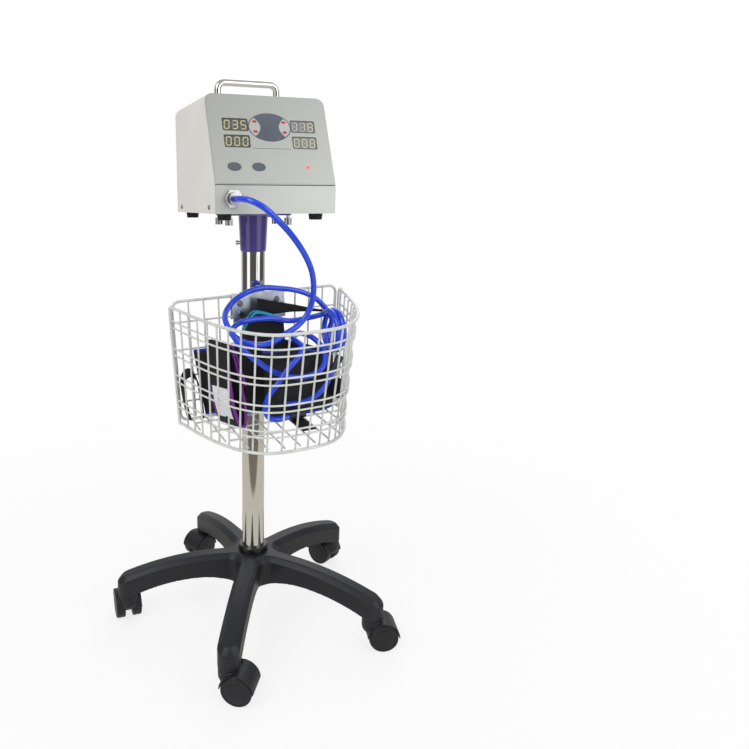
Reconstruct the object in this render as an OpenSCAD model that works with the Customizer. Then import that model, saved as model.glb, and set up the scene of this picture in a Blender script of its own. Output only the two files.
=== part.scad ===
// Automatic tourniquet on a rolling stand: a sloped-front console, a chrome
// pole on a five-arm caster base, and a wire basket that holds hose and cuffs.
// Millimetres, +Z up. The origin is on the floor, under the middle of the
// whole object's footprint. The front of the console looks towards -Y.

/* [Stand] */
// Outer diameter of the pole
pole_d = 38; // [30:1:45]
// Wall of the pole
pole_wall = 1.5; // [1:0.5:3]
// Height of the pole's upper end above the floor
pole_top = 691; // [640:1:760]
// Radius of the circle that the caster stems stand on
stem_circle_r = 221.4; // [190:0.1:260]
// Direction of the first arm, from straight ahead
first_arm_angle = -9.3; // [-36:0.1:36]
// Width of an arm
arm_w = 35; // [30:1:44]
// Width of the flat spine along the top of an arm
arm_spine_w = 19; // [12:1:26]
// Height of the bevel beside the spine
arm_bevel_h = 8; // [4:1:12]
// Height of the hub's top above the floor
hub_top = 120; // [110:1:140]
// Drop of an arm's spine from hub to caster
arm_drop = 28.5; // [15:0.5:40]
// Thickness of the moulded walls of the arms
arm_wall = 4; // [3:0.5:6]

/* [Casters] */
// Diameter of a caster wheel
wheel_d = 48; // [40:1:60]
// Width of one wheel
wheel_w = 15.5; // [10:0.5:18]
// Overall width of a caster
caster_w = 44; // [38:1:56]
// Horizontal distance from stem to axle
caster_trail = 16.5; // [14:0.5:26]
// Height of the arm's underside above the floor
caster_h = 51.5; // [44:0.1:62]
// Diameter of the steel stem
stem_d = 11; // [8:0.5:12]
// Diameter of the wheel axle
axle_d = 8; // [6:0.5:10]
// Direction that each caster trails in, seen from above
trail_angles = [-16, 2, 136, 225, 109];

/* [Console] */
// Turn of the console about the pole
console_yaw = 19; // [-45:1:45]
// Sideways offset of the console on its mounting plate
console_offset = -4.6; // [-10:0.1:10]
// Width of the console
console_w = 179; // [150:1:220]
// Depth of the console at its foot
console_depth = 234.5; // [200:0.5:280]
// Depth of the console's top face
console_top_depth = 183.2; // [140:0.1:200]
// Height of the console
console_h = 162.5; // [140:0.5:190]
// Height of the straight front lip below the sloped panel
lip_h = 38.6; // [34:0.1:60]
// Thickness of the sheet-metal cover
sheet_t = 1.5; // [1:0.1:2.5]
// Outer bend radius along the cover's upper edges
bend_r = 12; // [6:1:20]
// Thickness of the front panel
panel_t = 3; // [2:0.5:5]
// Thickness of the printed membrane on the front panel
membrane_t = 0.5; // [0.3:0.1:1]
// Width of a display window
window_w = 37; // [34:0.5:37]
// Height of a display window
window_h = 18; // [15:0.5:18.5]
// Press travel of a membrane key
key_travel = 0.8; // [0.3:0.1:1]
// Diameter of the carrying handle's bar
handle_bar_d = 10; // [7:0.5:12]
// Spacing of the handle's legs
handle_w = 94; // [80:1:120]
// Height of the handle's bar above the cover, to its middle
handle_h = 28; // [24:1:45]
// Upper diameter of a rubber foot
foot_d = 21; // [16:1:26]
// Height of a rubber foot
foot_h = 9; // [6:0.5:14]

/* [Basket] */
// Turn of the basket about the pole
basket_yaw = 18.5; // [-45:0.5:45]
// Half of the basket's width along its rim
rim_half_w = 141; // [120:0.5:160]
// Half of the basket's width along its floor
floor_half_w = 134; // [110:0.5:150]
// Depth of the basket along its rim
rim_depth = 219; // [180:1:250]
// Depth of the basket along its floor
floor_depth = 181; // [150:1:220]
// Height of the basket's floor above the ground
basket_z = 387; // [350:1:430]
// Height of the basket at the pole
basket_h = 185.5; // [150:0.5:220]
// Diameter of the frame wire
frame_wire_d = 4.6; // [4:0.2:6]
// Diameter of the mesh wire
mesh_wire_d = 2.8; // [2.4:0.2:3.4]
// Distance between the two wires of a ring pair
ring_gap = 10.5; // [8:0.5:13]
// Slope of the basket's level lines, as it hangs on its clamp
hang_slope = 0.058; // [-0.1:0.001:0.1]
// Lean of the basket's upright wires
hang_lean = 0.018; // [-0.1:0.001:0.1]

/* [Hose and cuffs] */
// Outer diameter of the air hose
hose_d = 8.5; // [7:0.5:8.5]
// Height of the rolled cuff's outer turn, before it is drawn in
rolled_cuff_h = 142; // [110:1:144]
// Depth of the rolled cuff at its middle
rolled_cuff_depth = 37; // [34:1:46]
// Width of the rolled cuff, along the axis that it is wound on
rolled_cuff_w = 50; // [36:1:56]
// Height of the open band that stands round the others
open_cuff_h = 108; // [80:1:110]
// Height of the flat cuff at the back
flat_cuff_h = 162; // [120:1:165]
// Thickness of a cuff's padded band
cuff_t = 6; // [4:0.5:7]
// Thickness of a fastening strap
strap_web_t = 1.6; // [1:0.1:2]

/* [Hidden] */
$fn = 48;

// Place of the pole's axis in the object's frame
pole_at = [6.507, 15.485];
// Running clearance of a shaft in its bore, on the radius
run = 0.05;
// Clearance of pieces that seat in each other, on the radius
seat = 0.1;
// Gap between pieces that move past each other
gap = 0.3;

// Helpers
function unit(v) = v / norm(v);
function lerp(a, b, t) = a + (b - a) * t;

// A closed solid through rings of points with one count, capped at both ends.
module loft(rings) {
    n = len(rings[0]);
    m = len(rings);
    sides = [for (i = [0:m - 2], j = [0:n - 1]) each [
        [i * n + j, (i + 1) * n + j, (i + 1) * n + (j + 1) % n],
        [i * n + j, (i + 1) * n + (j + 1) % n, i * n + (j + 1) % n]]];
    first = [for (j = [1:n - 2]) [0, j, j + 1]];
    last = [for (j = [1:n - 2]) [(m - 1) * n, (m - 1) * n + j + 1, (m - 1) * n + j]];
    polyhedron([for (r = rings) each r], concat(sides, first, last));
}

// The same, closed on itself as a loop.
module loft_loop(rings) {
    n = len(rings[0]);
    m = len(rings);
    polyhedron([for (r = rings) each r], [for (i = [0:m - 1], j = [0:n - 1]) each [
        [i * n + j, ((i + 1) % m) * n + j, ((i + 1) % m) * n + (j + 1) % n],
        [i * n + j, ((i + 1) % m) * n + (j + 1) % n, i * n + (j + 1) % n]]]);
}

// Rings of a round wire along points; aside is a direction that the wire never takes.
function wire_rings(points, d, sides, aside, closed = false) =
    let (n = len(points))
    [for (i = [0:n - 1])
        let (before = points[closed ? (i + n - 1) % n : max(i - 1, 0)],
             after = points[closed ? (i + 1) % n : min(i + 1, n - 1)],
             along = unit(after - before),
             u = unit(cross(along, aside)),
             v = cross(along, u))
        [for (j = [0:sides - 1]) points[i] + d / 2 * (cos(360 * j / sides) * u + sin(360 * j / sides) * v)]];

// A straight round rod between two points.
module rod(a, b, d) {
    along = b - a;
    length = norm(along);
    translate(a) rotate([0, acos(along[2] / length), atan2(along[1], along[0])])
        cylinder(d = d, h = length);
}

// A flat bar with rounded corners, in the XY plane.
module rounded_plate(w, l, r) {
    square([w - 2 * r, l], center = true);
    square([w, l - 2 * r], center = true);
    for (x = [-1, 1], y = [-1, 1]) translate([x * (w / 2 - r), y * (l / 2 - r)]) circle(r);
}

function ellipse_points(a, b, n = 40) = [for (i = [0:n - 1]) [a * cos(360 * i / n), b * sin(360 * i / n)]];

module at_pole() translate([pole_at[0], pole_at[1], 0]) children();

// Stand: the moulded base, its collar and the pole
hub_r = 52;
hub_floor = 66;
fillet_r = 18;
pole_seat_z = hub_floor + 4;
arm_flat_r = 60;
arm_arch_r = 95;
arm_arch_z = hub_top - 40;
arm_inner_fall = 0.0036;
arm_outer_fall = (arm_arch_z - caster_h) / pow(stem_circle_r - arm_arch_r, 2);
end_r = arm_w / 2 + 0.3;
stem_bore_top = min(caster_h + 33, hub_top - arm_drop - 6);

function arm_top(r) = hub_top - arm_drop * pow(max(0, r - arm_flat_r) / (stem_circle_r - arm_flat_r), 2);
function arm_under(r) = arm_arch_z - (r < arm_arch_r ? arm_inner_fall : arm_outer_fall) * pow(r - arm_arch_r, 2);

// Ring of an arm's section at radius r, shrunk by a wall w.
function arm_ring(r, w) =
    let (half = arm_w / 2 - w, spine = arm_spine_w / 2 - w / 2,
         top = arm_top(r) - w, under = arm_under(r) - (w > 0 ? 20 : 0), shoulder = top - arm_bevel_h)
    [[r, half, under], [r, half, shoulder], [r, spine, top],
     [r, -spine, top], [r, -half, shoulder], [r, -half, under]];

// Ring of an arm's round end, at the angle a round its half circle.
function arm_end_ring(a) =
    let (d = arm_w / 2 * sin(a), r = stem_circle_r + d, half = arm_w / 2 * cos(a), under = caster_h,
         spine = max(0.3 * half, sqrt(max(0, pow(arm_spine_w / 2, 2) - d * d))),
         fall = max(0, d - arm_spine_w / 2) / (arm_w - arm_spine_w) * 2 * arm_bevel_h,
         shoulder = arm_top(r) - arm_bevel_h, top = arm_top(r) - min(fall, 0.9 * arm_bevel_h))
    [[r, half, under], [r, half, shoulder], [r, spine, top], [r, -spine, top], [r, -half, shoulder], [r, -half, under]];

module arm_solid() {
    loft(concat([for (i = [0:12]) arm_ring(lerp(20, stem_circle_r, i / 12), 0)],
                [for (a = [15, 30, 45, 60, 72, 82]) arm_end_ring(a)]));
    translate([stem_circle_r, 0, caster_h]) cylinder(r = arm_w / 2 - 0.3, h = 20);
}

module arm_hollow() {
    inner_r = hub_r + 2;
    outer_r = stem_circle_r - end_r - 6;
    loft([for (i = [0:8]) arm_ring(lerp(inner_r, outer_r, i / 8), arm_wall)]);
}

// The hub, hollowed between the arms so that their sides and bevels run on round it.
module hub() difference() {
    rotate_extrude() polygon([[0, hub_floor], [hub_r, hub_floor], [hub_r, hub_top - 0.3],
                              [pole_d / 2 + 8, hub_top + 1], [0, hub_top + 1]]);
    for (n = [0:4]) rotate([0, 0, first_arm_angle + 72 * n - 54])
        translate([(arm_w / 2 + fillet_r - 0.3) / sin(36), 0, 0]) rotate_extrude() polygon([
            [0, hub_floor - 1], [fillet_r, hub_floor - 1], [fillet_r, hub_top - arm_bevel_h],
            [fillet_r + (arm_w - arm_spine_w) / 2 + 1.5, hub_top + 1.5], [0, hub_top + 1.5]]);
}

module star_base() color("#2b2c30") at_pole() difference() {
    union() {
        difference() {
            for (n = [0:4]) rotate([0, 0, first_arm_angle + 72 * n - 90]) arm_solid();
            for (n = [0:4]) rotate([0, 0, first_arm_angle + 72 * n - 90]) arm_hollow();
        }
        hub();
    }
    translate([0, 0, pole_seat_z]) cylinder(d = pole_d + 2 * seat, h = hub_top);
    translate([0, 0, hub_floor - 1]) cylinder(d = pole_d - 12, h = hub_top);
    for (n = [0:4]) rotate([0, 0, first_arm_angle + 72 * n - 90]) translate([stem_circle_r, 0, caster_h - 10])
        cylinder(d = stem_d + 2 * run, h = stem_bore_top - caster_h + 10);
}

collar_h = 11;
collar_t = 6.6;
module hub_collar() color("#141416") at_pole() translate([0, 0, hub_top + 1])
    rotate_extrude() translate([pole_d / 2 + seat, 0])
        polygon([[0, 0], [collar_t, 0], [collar_t, collar_h - 2], [collar_t - 2, collar_h], [0, collar_h]]);

module pole() color("#c9c7c2") at_pole() difference() {
    translate([0, 0, pole_seat_z]) cylinder(d = pole_d, h = pole_top - pole_seat_z);
    translate([0, 0, pole_seat_z - 1]) cylinder(d = pole_d - 2 * pole_wall, h = pole_top);
}

// Casters, each drawn with its stem on the Z axis and its wheels trailing along +X
wheel_r = wheel_d / 2;
hood_gap = 0.8;
hood_t = 2;
hood_r = wheel_r + hood_gap + hood_t;
web_half = caster_w / 2 - wheel_w - gap;
barrel_r = 16.8;
barrel_floor = 27;
barrel_round = [8, 11];
stem_foot = barrel_floor + 4;

module caster_place(n) at_pole() rotate([0, 0, first_arm_angle + 72 * (n - 1) - 90])
    translate([stem_circle_r, 0, 0]) rotate([0, 0, trail_angles[n - 1] - (first_arm_angle + 72 * (n - 1) - 90)])
        children();

module across(d, w) rotate([90, 0, 0]) cylinder(d = d, h = w, center = true);

module caster_hood(n) color("#26282c") caster_place(n) difference() {
    union() {
        difference() {
            translate([caster_trail, 0, wheel_r]) across(2 * hood_r, caster_w);
            translate([caster_trail - 60, -50, -20]) cube([120, 100, 20 + wheel_r + 1]);
        }
        translate([caster_trail, 0, wheel_r]) across(axle_d + 5, 2 * web_half);
        rotate_extrude() polygon(concat([[0, barrel_floor]],
            [for (a = [0:15:90]) [barrel_r - barrel_round[0] * (1 - sin(a)), barrel_floor + barrel_round[1] * (1 - cos(a))]],
            [[barrel_r, caster_h - gap], [0, caster_h - gap]]));
    }
    for (side = [-1, 1]) translate([caster_trail, side * (web_half + 20), wheel_r])
        across(2 * (wheel_r + hood_gap), 40);
    translate([0, 0, caster_h - gap]) cylinder(r = end_r + 0.6, h = 20);
    translate([0, 0, stem_foot]) cylinder(d = stem_d + 2 * run, h = caster_h);
    translate([caster_trail, 0, wheel_r]) across(axle_d + 2 * run, caster_w);
}

module caster_stems() color("#9a9da1") for (n = [1:5]) caster_place(n)
    translate([0, 0, stem_foot]) cylinder(d = stem_d, h = stem_bore_top - 1 - stem_foot);

wheel_edge = 2.2;
module wheel() rotate([-90, 0, 0]) rotate_extrude() polygon([
    [0, 0], [wheel_r - 1, 0], [wheel_r, 1], [wheel_r, wheel_w - wheel_edge], [wheel_r - wheel_edge, wheel_w - 0.4],
    [wheel_r * 0.6, wheel_w], [0, wheel_w]]);

module caster_wheels(n) color("#1d1f22") caster_place(n) translate([caster_trail, 0, wheel_r]) {
    across(axle_d, caster_w - wheel_w);
    for (side = [0, 1]) mirror([0, side, 0]) difference() {
        translate([0, caster_w / 2 - wheel_w, 0]) wheel();
        across(axle_d + 2 * run, caster_w - wheel_w + 2 * run);
    }
}

// Console: drawn in its own frame, with the front at -Y and the underside at z = 0
console_z = pole_top + 10.9;
half_w = console_w / 2;
half_d = console_depth / 2;
slope_run = console_depth - console_top_depth;
slope_rise = console_h - lip_h;
slope_len = norm([slope_run, slope_rise]);
slope_tilt = atan2(slope_rise, slope_run);
inner_half_w = half_w - sheet_t;
tray_t = 2;

module at_console() at_pole() rotate([0, 0, console_yaw]) translate([console_offset, 0, console_z]) children();
module on_slope() at_console() translate([0, -half_d, lip_h]) rotate([slope_tilt, 0, 0]) children();

// The plate under the console that its thumb screws hold, with the socket for the pole.
plate_w = 106;
plate_l = 64;
plate_t = 4;
stud_x = 48;
stud_y = 27;
socket_top_d = 46.1;
socket_foot_d = 41.4;
socket_len = 56;
stud_d = 5;
module console_socket() color("#544b8c") at_pole() rotate([0, 0, console_yaw]) difference() {
    union() {
        translate([0, 0, console_z - plate_t]) linear_extrude(plate_t) rounded_plate(plate_w, plate_l, 5);
        translate([0, 0, console_z - plate_t - socket_len]) rotate_extrude() polygon([
            [0, 0], [socket_foot_d / 2 - 1, 0], [socket_foot_d / 2, 3], [socket_top_d / 2, socket_len - 1],
            [socket_top_d / 2, socket_len + 1], [0, socket_len + 1]]);
    }
    translate([0, 0, console_z - plate_t - socket_len - 1]) cylinder(d = pole_d + 2 * seat, h = pole_top - console_z + plate_t + socket_len + 1);
    for (x = [-1, 1], y = [-1, 1]) translate([x * stud_x, y * stud_y, console_z - plate_t - 1])
        cylinder(d = stud_d + 1, h = plate_t + 2);
    translate([0, 0, screw_z]) rotate([0, -90, 0]) cylinder(d = screw_d + 2 * seat, h = 40);
}

screw_d = 5;
screw_z = console_z - plate_t - socket_len + 14;
module socket_screw() color("#8f8a80") at_pole() rotate([0, 0, console_yaw]) translate([0, 0, screw_z]) rotate([0, -90, 0]) {
    translate([0, 0, pole_d / 2 + 0.05]) cylinder(d = screw_d, h = 6);
    translate([0, 0, pole_d / 2 + 6]) cylinder(d = 7, h = 3.5);
}

knob_d = 12;
knob_h = 10.5;
module thumb_screws() color("#c8c9cb") at_pole() rotate([0, 0, console_yaw])
    for (x = [-1, 1], y = [-1, 1]) translate([x * stud_x, y * stud_y, console_z]) {
        translate([0, 0, -plate_t - 4]) cylinder(d = stud_d, h = plate_t + 4 + tray_t + 6);
        translate([0, 0, -plate_t - 4 - knob_h]) difference() {
            cylinder(d = knob_d, h = knob_h);
            for (a = [0:45:315]) rotate([0, 0, a]) translate([knob_d / 2 + 0.5, 0, -1]) cylinder(d = 2.4, h = knob_h + 2);
        }
    }

// Side outline of the console between z = low and the top, set back by t at the front.
module side_outline(t, low, back) polygon([
    [-half_d + t, low], [-half_d + t, lip_h], [-half_d + slope_run + t, console_h], [half_d - back, console_h],
    [half_d - back, low]]);

module cover_section(inset) {
    translate([-half_w + inset, -10]) square([console_w - 2 * inset, console_h - bend_r + 10]);
    translate([-half_w + bend_r, 0]) square([console_w - 2 * bend_r, console_h - inset]);
    for (x = [-1, 1]) translate([x * (half_w - bend_r), console_h - bend_r]) circle(bend_r - inset);
}

handle_back = 14;
module cover() color("#d8d6d0") at_console() difference() {
    intersection() {
        rotate([90, 0, 0]) linear_extrude(console_depth + 10, center = true) difference() {
            cover_section(0);
            cover_section(sheet_t);
        }
        rotate([90, 0, 90]) linear_extrude(console_w + 10, center = true) side_outline(panel_t + gap, 0, 0);
    }
    for (x = [-1, 1], y = [-1, 1]) translate([x * half_w, y * side_screw_y, side_screw_z]) rotate([0, 90, 0])
        cylinder(d = side_screw_d + 2 * seat, h = 10, center = true);
    for (x = [-1, 1]) translate([x * handle_w / 2, handle_back, console_h - 5]) cylinder(d = handle_bar_d - 3.4, h = 10);
}

side_screw_y = 84;
side_screw_z = 8.7;
side_screw_d = 4;
module side_screws() color("#a9a69f") at_console()
    for (x = [-1, 1], y = [-1, 1]) translate([x * half_w, y * side_screw_y, side_screw_z]) rotate([0, x * 90, 0]) {
        translate([0, 0, -9]) cylinder(d = side_screw_d, h = 9.3);
        translate([0, 0, 0.05]) cylinder(d1 = 7.4, d2 = 5, h = 1.6);
    }

// The tray: floor, side flanges that the cover screws to, and the straight front lip.
flange_h = 20;
union_x = -65;
union_z = 20.3;
union_bore_d = 12;
foot_x = 70;
foot_y = 92;
module base_tray() color("#c3c5bf") at_console() difference() {
    union() {
        translate([-inner_half_w + seat, -half_d + 1, 0]) cube([2 * (inner_half_w - seat), console_depth - 1 - sheet_t - gap, tray_t]);
        for (x = [-1, 1]) translate([x * (inner_half_w - seat - 1), 0, flange_h / 2])
            cube([2, console_depth - 2 * panel_t - 16, flange_h], center = true);
        translate([-half_w, -half_d, 0]) cube([console_w, panel_t, lip_h - gap]);
    }
    translate([union_x, -half_d + 1, union_z]) across(union_bore_d + 2 * seat, 20);
    for (x = [-1, 1], y = [-1, 1]) translate([x * stud_x - console_offset, y * stud_y, -1]) cylinder(d = stud_d + 1, h = 5);
    for (x = [-1, 1], y = [-1, 1]) translate([x * foot_x, y * foot_y, -1]) cylinder(d = 4 + 2 * seat, h = 5);
    for (x = [-1, 1], y = [-1, 1]) translate([x * half_w, y * side_screw_y, side_screw_z]) rotate([0, 90, 0])
        cylinder(d = side_screw_d + 2 * seat, h = 12, center = true);
}

module rubber_feet() color("#1a1a1b") at_console() for (x = [-1, 1], y = [-1, 1]) translate([x * foot_x, y * foot_y, 0]) {
    translate([0, 0, -foot_h]) cylinder(d1 = foot_d - 2.5, d2 = foot_d, h = foot_h - 0.05);
    translate([0, 0, -1]) cylinder(d = 4, h = tray_t + 1);
}

// Places of the windows, keys and lamp on the sloped panel, from its lower middle
window_x = 50.5;
window_rows = [64, 88.5];
arrow_x = 21.8;
arrow_rows = [79, 94];
oval_keys = [-59.2, -23.8];
oval_y = 26.7;
lamp_at = [49.7, 27];
key_half = [9.7, 6.1];
arrow_half = [3.6, 2];
key_gap = 0.25;
key_proud = 0.8;
board_depth = 12.5;
board_t = 1.6;
switch_h = 4.6;

module panel_holes(depth) translate([0, 0, -depth]) {
    for (x = [-1, 1], y = window_rows) translate([x * window_x - window_w / 2, y - window_h / 2, 0])
        cube([window_w, window_h, 2 * depth]);
    for (x = oval_keys) translate([x, oval_y, 0]) linear_extrude(2 * depth)
        polygon(ellipse_points(key_half[0] + key_gap, key_half[1] + key_gap));
    for (x = [-1, 1], y = arrow_rows) translate([x * arrow_x, y, 0]) linear_extrude(2 * depth)
        polygon(ellipse_points(arrow_half[0] + key_gap, arrow_half[1] + key_gap, 24));
    translate([lamp_at[0], lamp_at[1], 0]) cylinder(d = 3 + 2 * seat, h = 2 * depth);
}

foot_gap = 1.2;
module panel_outline(inset) {
    translate([-half_w + inset, foot_gap + inset]) square([console_w - 2 * inset, slope_len - bend_r - foot_gap - inset]);
    translate([-half_w + bend_r, foot_gap + inset]) square([console_w - 2 * bend_r, slope_len - foot_gap - 2 * inset]);
    for (x = [-1, 1]) translate([x * (half_w - bend_r), slope_len - bend_r]) circle(bend_r - inset);
}

module front_panel() color("#c0c3bc") on_slope() difference() {
    translate([0, 0, -panel_t]) linear_extrude(panel_t - membrane_t - 0.05) panel_outline(0);
    panel_holes(panel_t + 1);
}

module membrane() color("#c4c7c0") on_slope() difference() {
    translate([0, 0, -membrane_t]) linear_extrude(membrane_t) panel_outline(1.2);
    panel_holes(1);
}

board_half_w = 76;
board_low = 12;
board_len = 94;
module display_board() color("#2c6e49") on_slope() {
    difference() {
        translate([-board_half_w, board_low, -board_depth - board_t]) cube([2 * board_half_w, board_len, board_t]);
        translate([lamp_at[0], lamp_at[1], -board_depth - 5]) cylinder(d = 3 + 2 * seat, h = 10);
    }
    for (x = [-1, 1], y = [5, board_len - 5]) translate([x * (board_half_w - 4), board_low + y, -board_depth - 0.01])
        cylinder(d = 6, h = board_depth - panel_t);
    for (x = oval_keys) translate([x, oval_y, -board_depth - 0.01]) tact_switch();
    for (x = [-1, 1], y = arrow_rows) translate([x * arrow_x, y, -board_depth - 0.01]) tact_switch();
}

module tact_switch() {
    translate([-3, -3, 0]) cube([6, 6, switch_h - 1]);
    cylinder(d = 3, h = switch_h);
}

module digit_displays() color("#3b3e40") on_slope() for (x = [-1, 1], y = window_rows)
    translate([x * window_x - 18.8, y - 9.5, -board_depth + 0.05]) cube([37.6, 19, board_depth - panel_t - 0.2]);

stem_gap = 0.25;
module key_body(half) {
    translate([0, 0, -panel_t + 0.2]) linear_extrude(panel_t - 0.2 + key_proud) polygon(ellipse_points(half[0], half[1], 32));
    translate([0, 0, -panel_t - 1.2]) linear_extrude(1) polygon(ellipse_points(half[0] + 0.9, half[1] + 0.9, 32));
    translate([0, 0, -board_depth + switch_h + key_travel + stem_gap])
        cylinder(d = 3, h = board_depth - switch_h - key_travel - stem_gap - panel_t + 1);
    translate([0, 0, -panel_t - 0.5]) cylinder(d = 3, h = 1);
}

module oval_key(x) color("#5a626c") on_slope() translate([x, oval_y, 0]) key_body(key_half);
module arrow_key(x, y) color("#c93a3a") on_slope() translate([x, y, 0]) key_body(arrow_half);
module inflate_key() oval_key(oval_keys[0]);
module deflate_key() oval_key(oval_keys[1]);
module pressure_up_key() arrow_key(-arrow_x, arrow_rows[1]);
module pressure_down_key() arrow_key(-arrow_x, arrow_rows[0]);
module time_up_key() arrow_key(arrow_x, arrow_rows[1]);
module time_down_key() arrow_key(arrow_x, arrow_rows[0]);

module status_lamp() color("#e0404a") on_slope() translate([lamp_at[0], lamp_at[1], 0]) {
    translate([0, 0, -board_depth - board_t]) cylinder(d = 3, h = board_depth + board_t);
    sphere(d = 3, $fn = 24);
}

corner_r = 11;
module carry_handle() color("#d4d2cd") at_console() {
    bar_z = console_h + handle_h;
    for (x = [-1, 1]) {
        translate([x * handle_w / 2, handle_back, console_h + 0.05]) cylinder(d = handle_bar_d, h = handle_h - corner_r - 0.05);
        translate([x * (handle_w / 2 - corner_r), handle_back, bar_z - corner_r]) rotate([90, 0, 0])
            rotate([0, 0, x > 0 ? 0 : 90]) rotate_extrude(angle = 90) translate([corner_r, 0]) circle(d = handle_bar_d);
        translate([x * handle_w / 2, handle_back, console_h - 9]) cylinder(d = handle_bar_d - 3.6, h = 12);
        translate([x * handle_w / 2, handle_back, console_h - sheet_t - 4.1]) cylinder(d = 11, h = 4);
    }
    translate([-handle_w / 2 + corner_r, handle_back, bar_z]) rotate([0, 90, 0])
        cylinder(d = handle_bar_d, h = handle_w - 2 * corner_r);
}

// Air outlet on the front lip: a bulkhead union with its barb, and the nut that clamps it.
barb_len = 12;
module hose_union() color("#c6c4bf") at_console() translate([union_x, -half_d, union_z]) rotate([90, 0, 0]) difference() {
    union() {
        translate([0, 0, -18]) cylinder(d = union_bore_d, h = 22);
        translate([0, 0, 0.05]) cylinder(d = 22.8 / cos(30), h = 7, $fn = 6);
        translate([0, 0, 7]) cylinder(d = 18, h = 5.5);
        translate([0, 0, 12]) cylinder(d = 5, h = barb_len);
    }
    translate([0, 0, -19]) cylinder(d = 3, h = 60);
    for (a = [0:30:330]) rotate([0, 0, a]) translate([9.3, 0, 8]) cylinder(d = 2, h = 5);
}

module union_nut() color("#b5b3ae") at_console() translate([union_x, -half_d + panel_t + 0.05, union_z]) rotate([-90, 0, 0])
    difference() {
        cylinder(d = 19 / cos(30), h = 5, $fn = 6);
        translate([0, 0, -1]) cylinder(d = union_bore_d + 2 * seat, h = 10);
    }

// Rear panel with the mains inlet, its rocker switch and cooling slots
inlet_at = [-45, 45];
inlet_w = 48;
inlet_h = 28;
slot_count = 9;
module rear_panel() color("#cdccc6") at_console() difference() {
    translate([0, half_d - sheet_t - gap, 0]) rotate([90, 0, 0]) translate([0, 0, -sheet_t]) linear_extrude(sheet_t)
        intersection() {
            cover_section(sheet_t + seat);
            translate([-half_w, tray_t + gap]) square([console_w, console_h]);
        }
    translate([inlet_at[0] - inlet_w / 2 - seat, half_d - 10, inlet_at[1] - inlet_h / 2 - seat])
        cube([inlet_w + 2 * seat, 20, inlet_h + 2 * seat]);
    for (i = [0:slot_count - 1]) translate([20 + 6 * i, half_d - 10, 90]) cube([3, 20, 40]);
}

rocker_w = 13;
rocker_h = 19;
rocker_x = 14;
rocker_r = 9;
module mains_inlet() color("#202124") at_console() translate([inlet_at[0], half_d - gap, inlet_at[1]]) difference() {
    union() {
        translate([-inlet_w / 2 - 3, 0.05, -inlet_h / 2 - 3]) cube([inlet_w + 6, 3, inlet_h + 6]);
        translate([-inlet_w / 2, -26, -inlet_h / 2]) cube([inlet_w, 27, inlet_h]);
    }
    translate([-21, -14, -10]) cube([24, 20, 20]);
    translate([rocker_x - rocker_w / 2 - gap, -16, -rocker_h / 2 - gap]) cube([rocker_w + 2 * gap, 30, rocker_h + 2 * gap]);
}

// The rocker turns about a pin along X, and sits proud of the inlet at one end.
module power_rocker() color("#b92f2f") at_console() translate([inlet_at[0] + rocker_x, half_d - gap - 3, inlet_at[1]])
    intersection() {
        rotate([0, 90, 0]) cylinder(r = rocker_r, h = rocker_w, center = true);
        rotate([-8, 0, 0]) translate([-rocker_w, -rocker_r, -rocker_h]) cube([2 * rocker_w, rocker_r + 6, 2 * rocker_h]);
    }

// What the console holds inside
module control_board() color("#2f7a50") at_console() translate([-72, -70, tray_t]) {
    difference() {
        translate([0, 0, 8]) cube([64, 100, 1.6]);
        for (x = [5, 59], y = [5, 95]) translate([x, y, 0]) cylinder(d = 3, h = 12);
    }
    for (x = [5, 59], y = [5, 95]) translate([x, y, 0.05]) difference() {
        cylinder(d = 6, h = 7.96);
        translate([0, 0, -1]) cylinder(d = 3, h = 12);
    }
    translate([12, 20, 9.59]) cube([14, 14, 2]);
    translate([34, 60, 9.59]) cube([22, 30, 12]);
    translate([10, 55, 9.59]) cube([12, 34, 9]);
}

supply_size = [72, 62, 34];
supply_back = 15.25;
module power_supply() color("#a8abad") at_console()
    translate([-4, half_d - supply_back - supply_size[1], tray_t + 0.05]) cube(supply_size);

module air_pump() color("#3a3d42") at_console() translate([22, -20, tray_t + 0.05]) {
    translate([-20, -26, 0]) cube([40, 52, 6]);
    translate([0, 0, 22]) rotate([90, 0, 0]) cylinder(d = 34, h = 50, center = true);
    translate([-12, 24.9, 8]) cube([24, 12, 28]);
    translate([-15, -10, 5.9]) cube([30, 20, 10]);
}

module valve_block() color("#b9bcc0") at_console() translate([union_x - 13, -half_d + 24, tray_t + 0.05]) difference() {
    union() {
        cube([32, 18, 30]);
        for (x = [8, 24]) translate([x, 9, 29.9]) cylinder(d = 13, h = 24);
    }
    translate([13, -1, union_z - tray_t]) rotate([-90, 0, 0]) cylinder(d = 6, h = 12);
}

// Basket: drawn in a frame turned by basket_yaw, with its back against the pole
plan_power = 3.2;
side_fall = 0.063;
front_fall = 4.5;
back_y = -(pole_d / 2 + frame_wire_d / 2 + 0.4);
wall_y = back_y - frame_wire_d - 0.2;
mesh_inset = (frame_wire_d - mesh_wire_d) / 2;
rib_inset = frame_wire_d / 2 + mesh_wire_d / 2;
ring_heights = [31, 72.5, 115, 158.5];

basket_shift = -1.5;

module at_basket() at_pole() rotate([0, 0, basket_yaw]) children();

// A point of the basket as it hangs: slopes its levels and leans its uprights.
function hang(p) = [p[0] + basket_shift - hang_lean * (p[2] - basket_z - basket_h), p[1], p[2] + hang_slope * p[0]];

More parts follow.
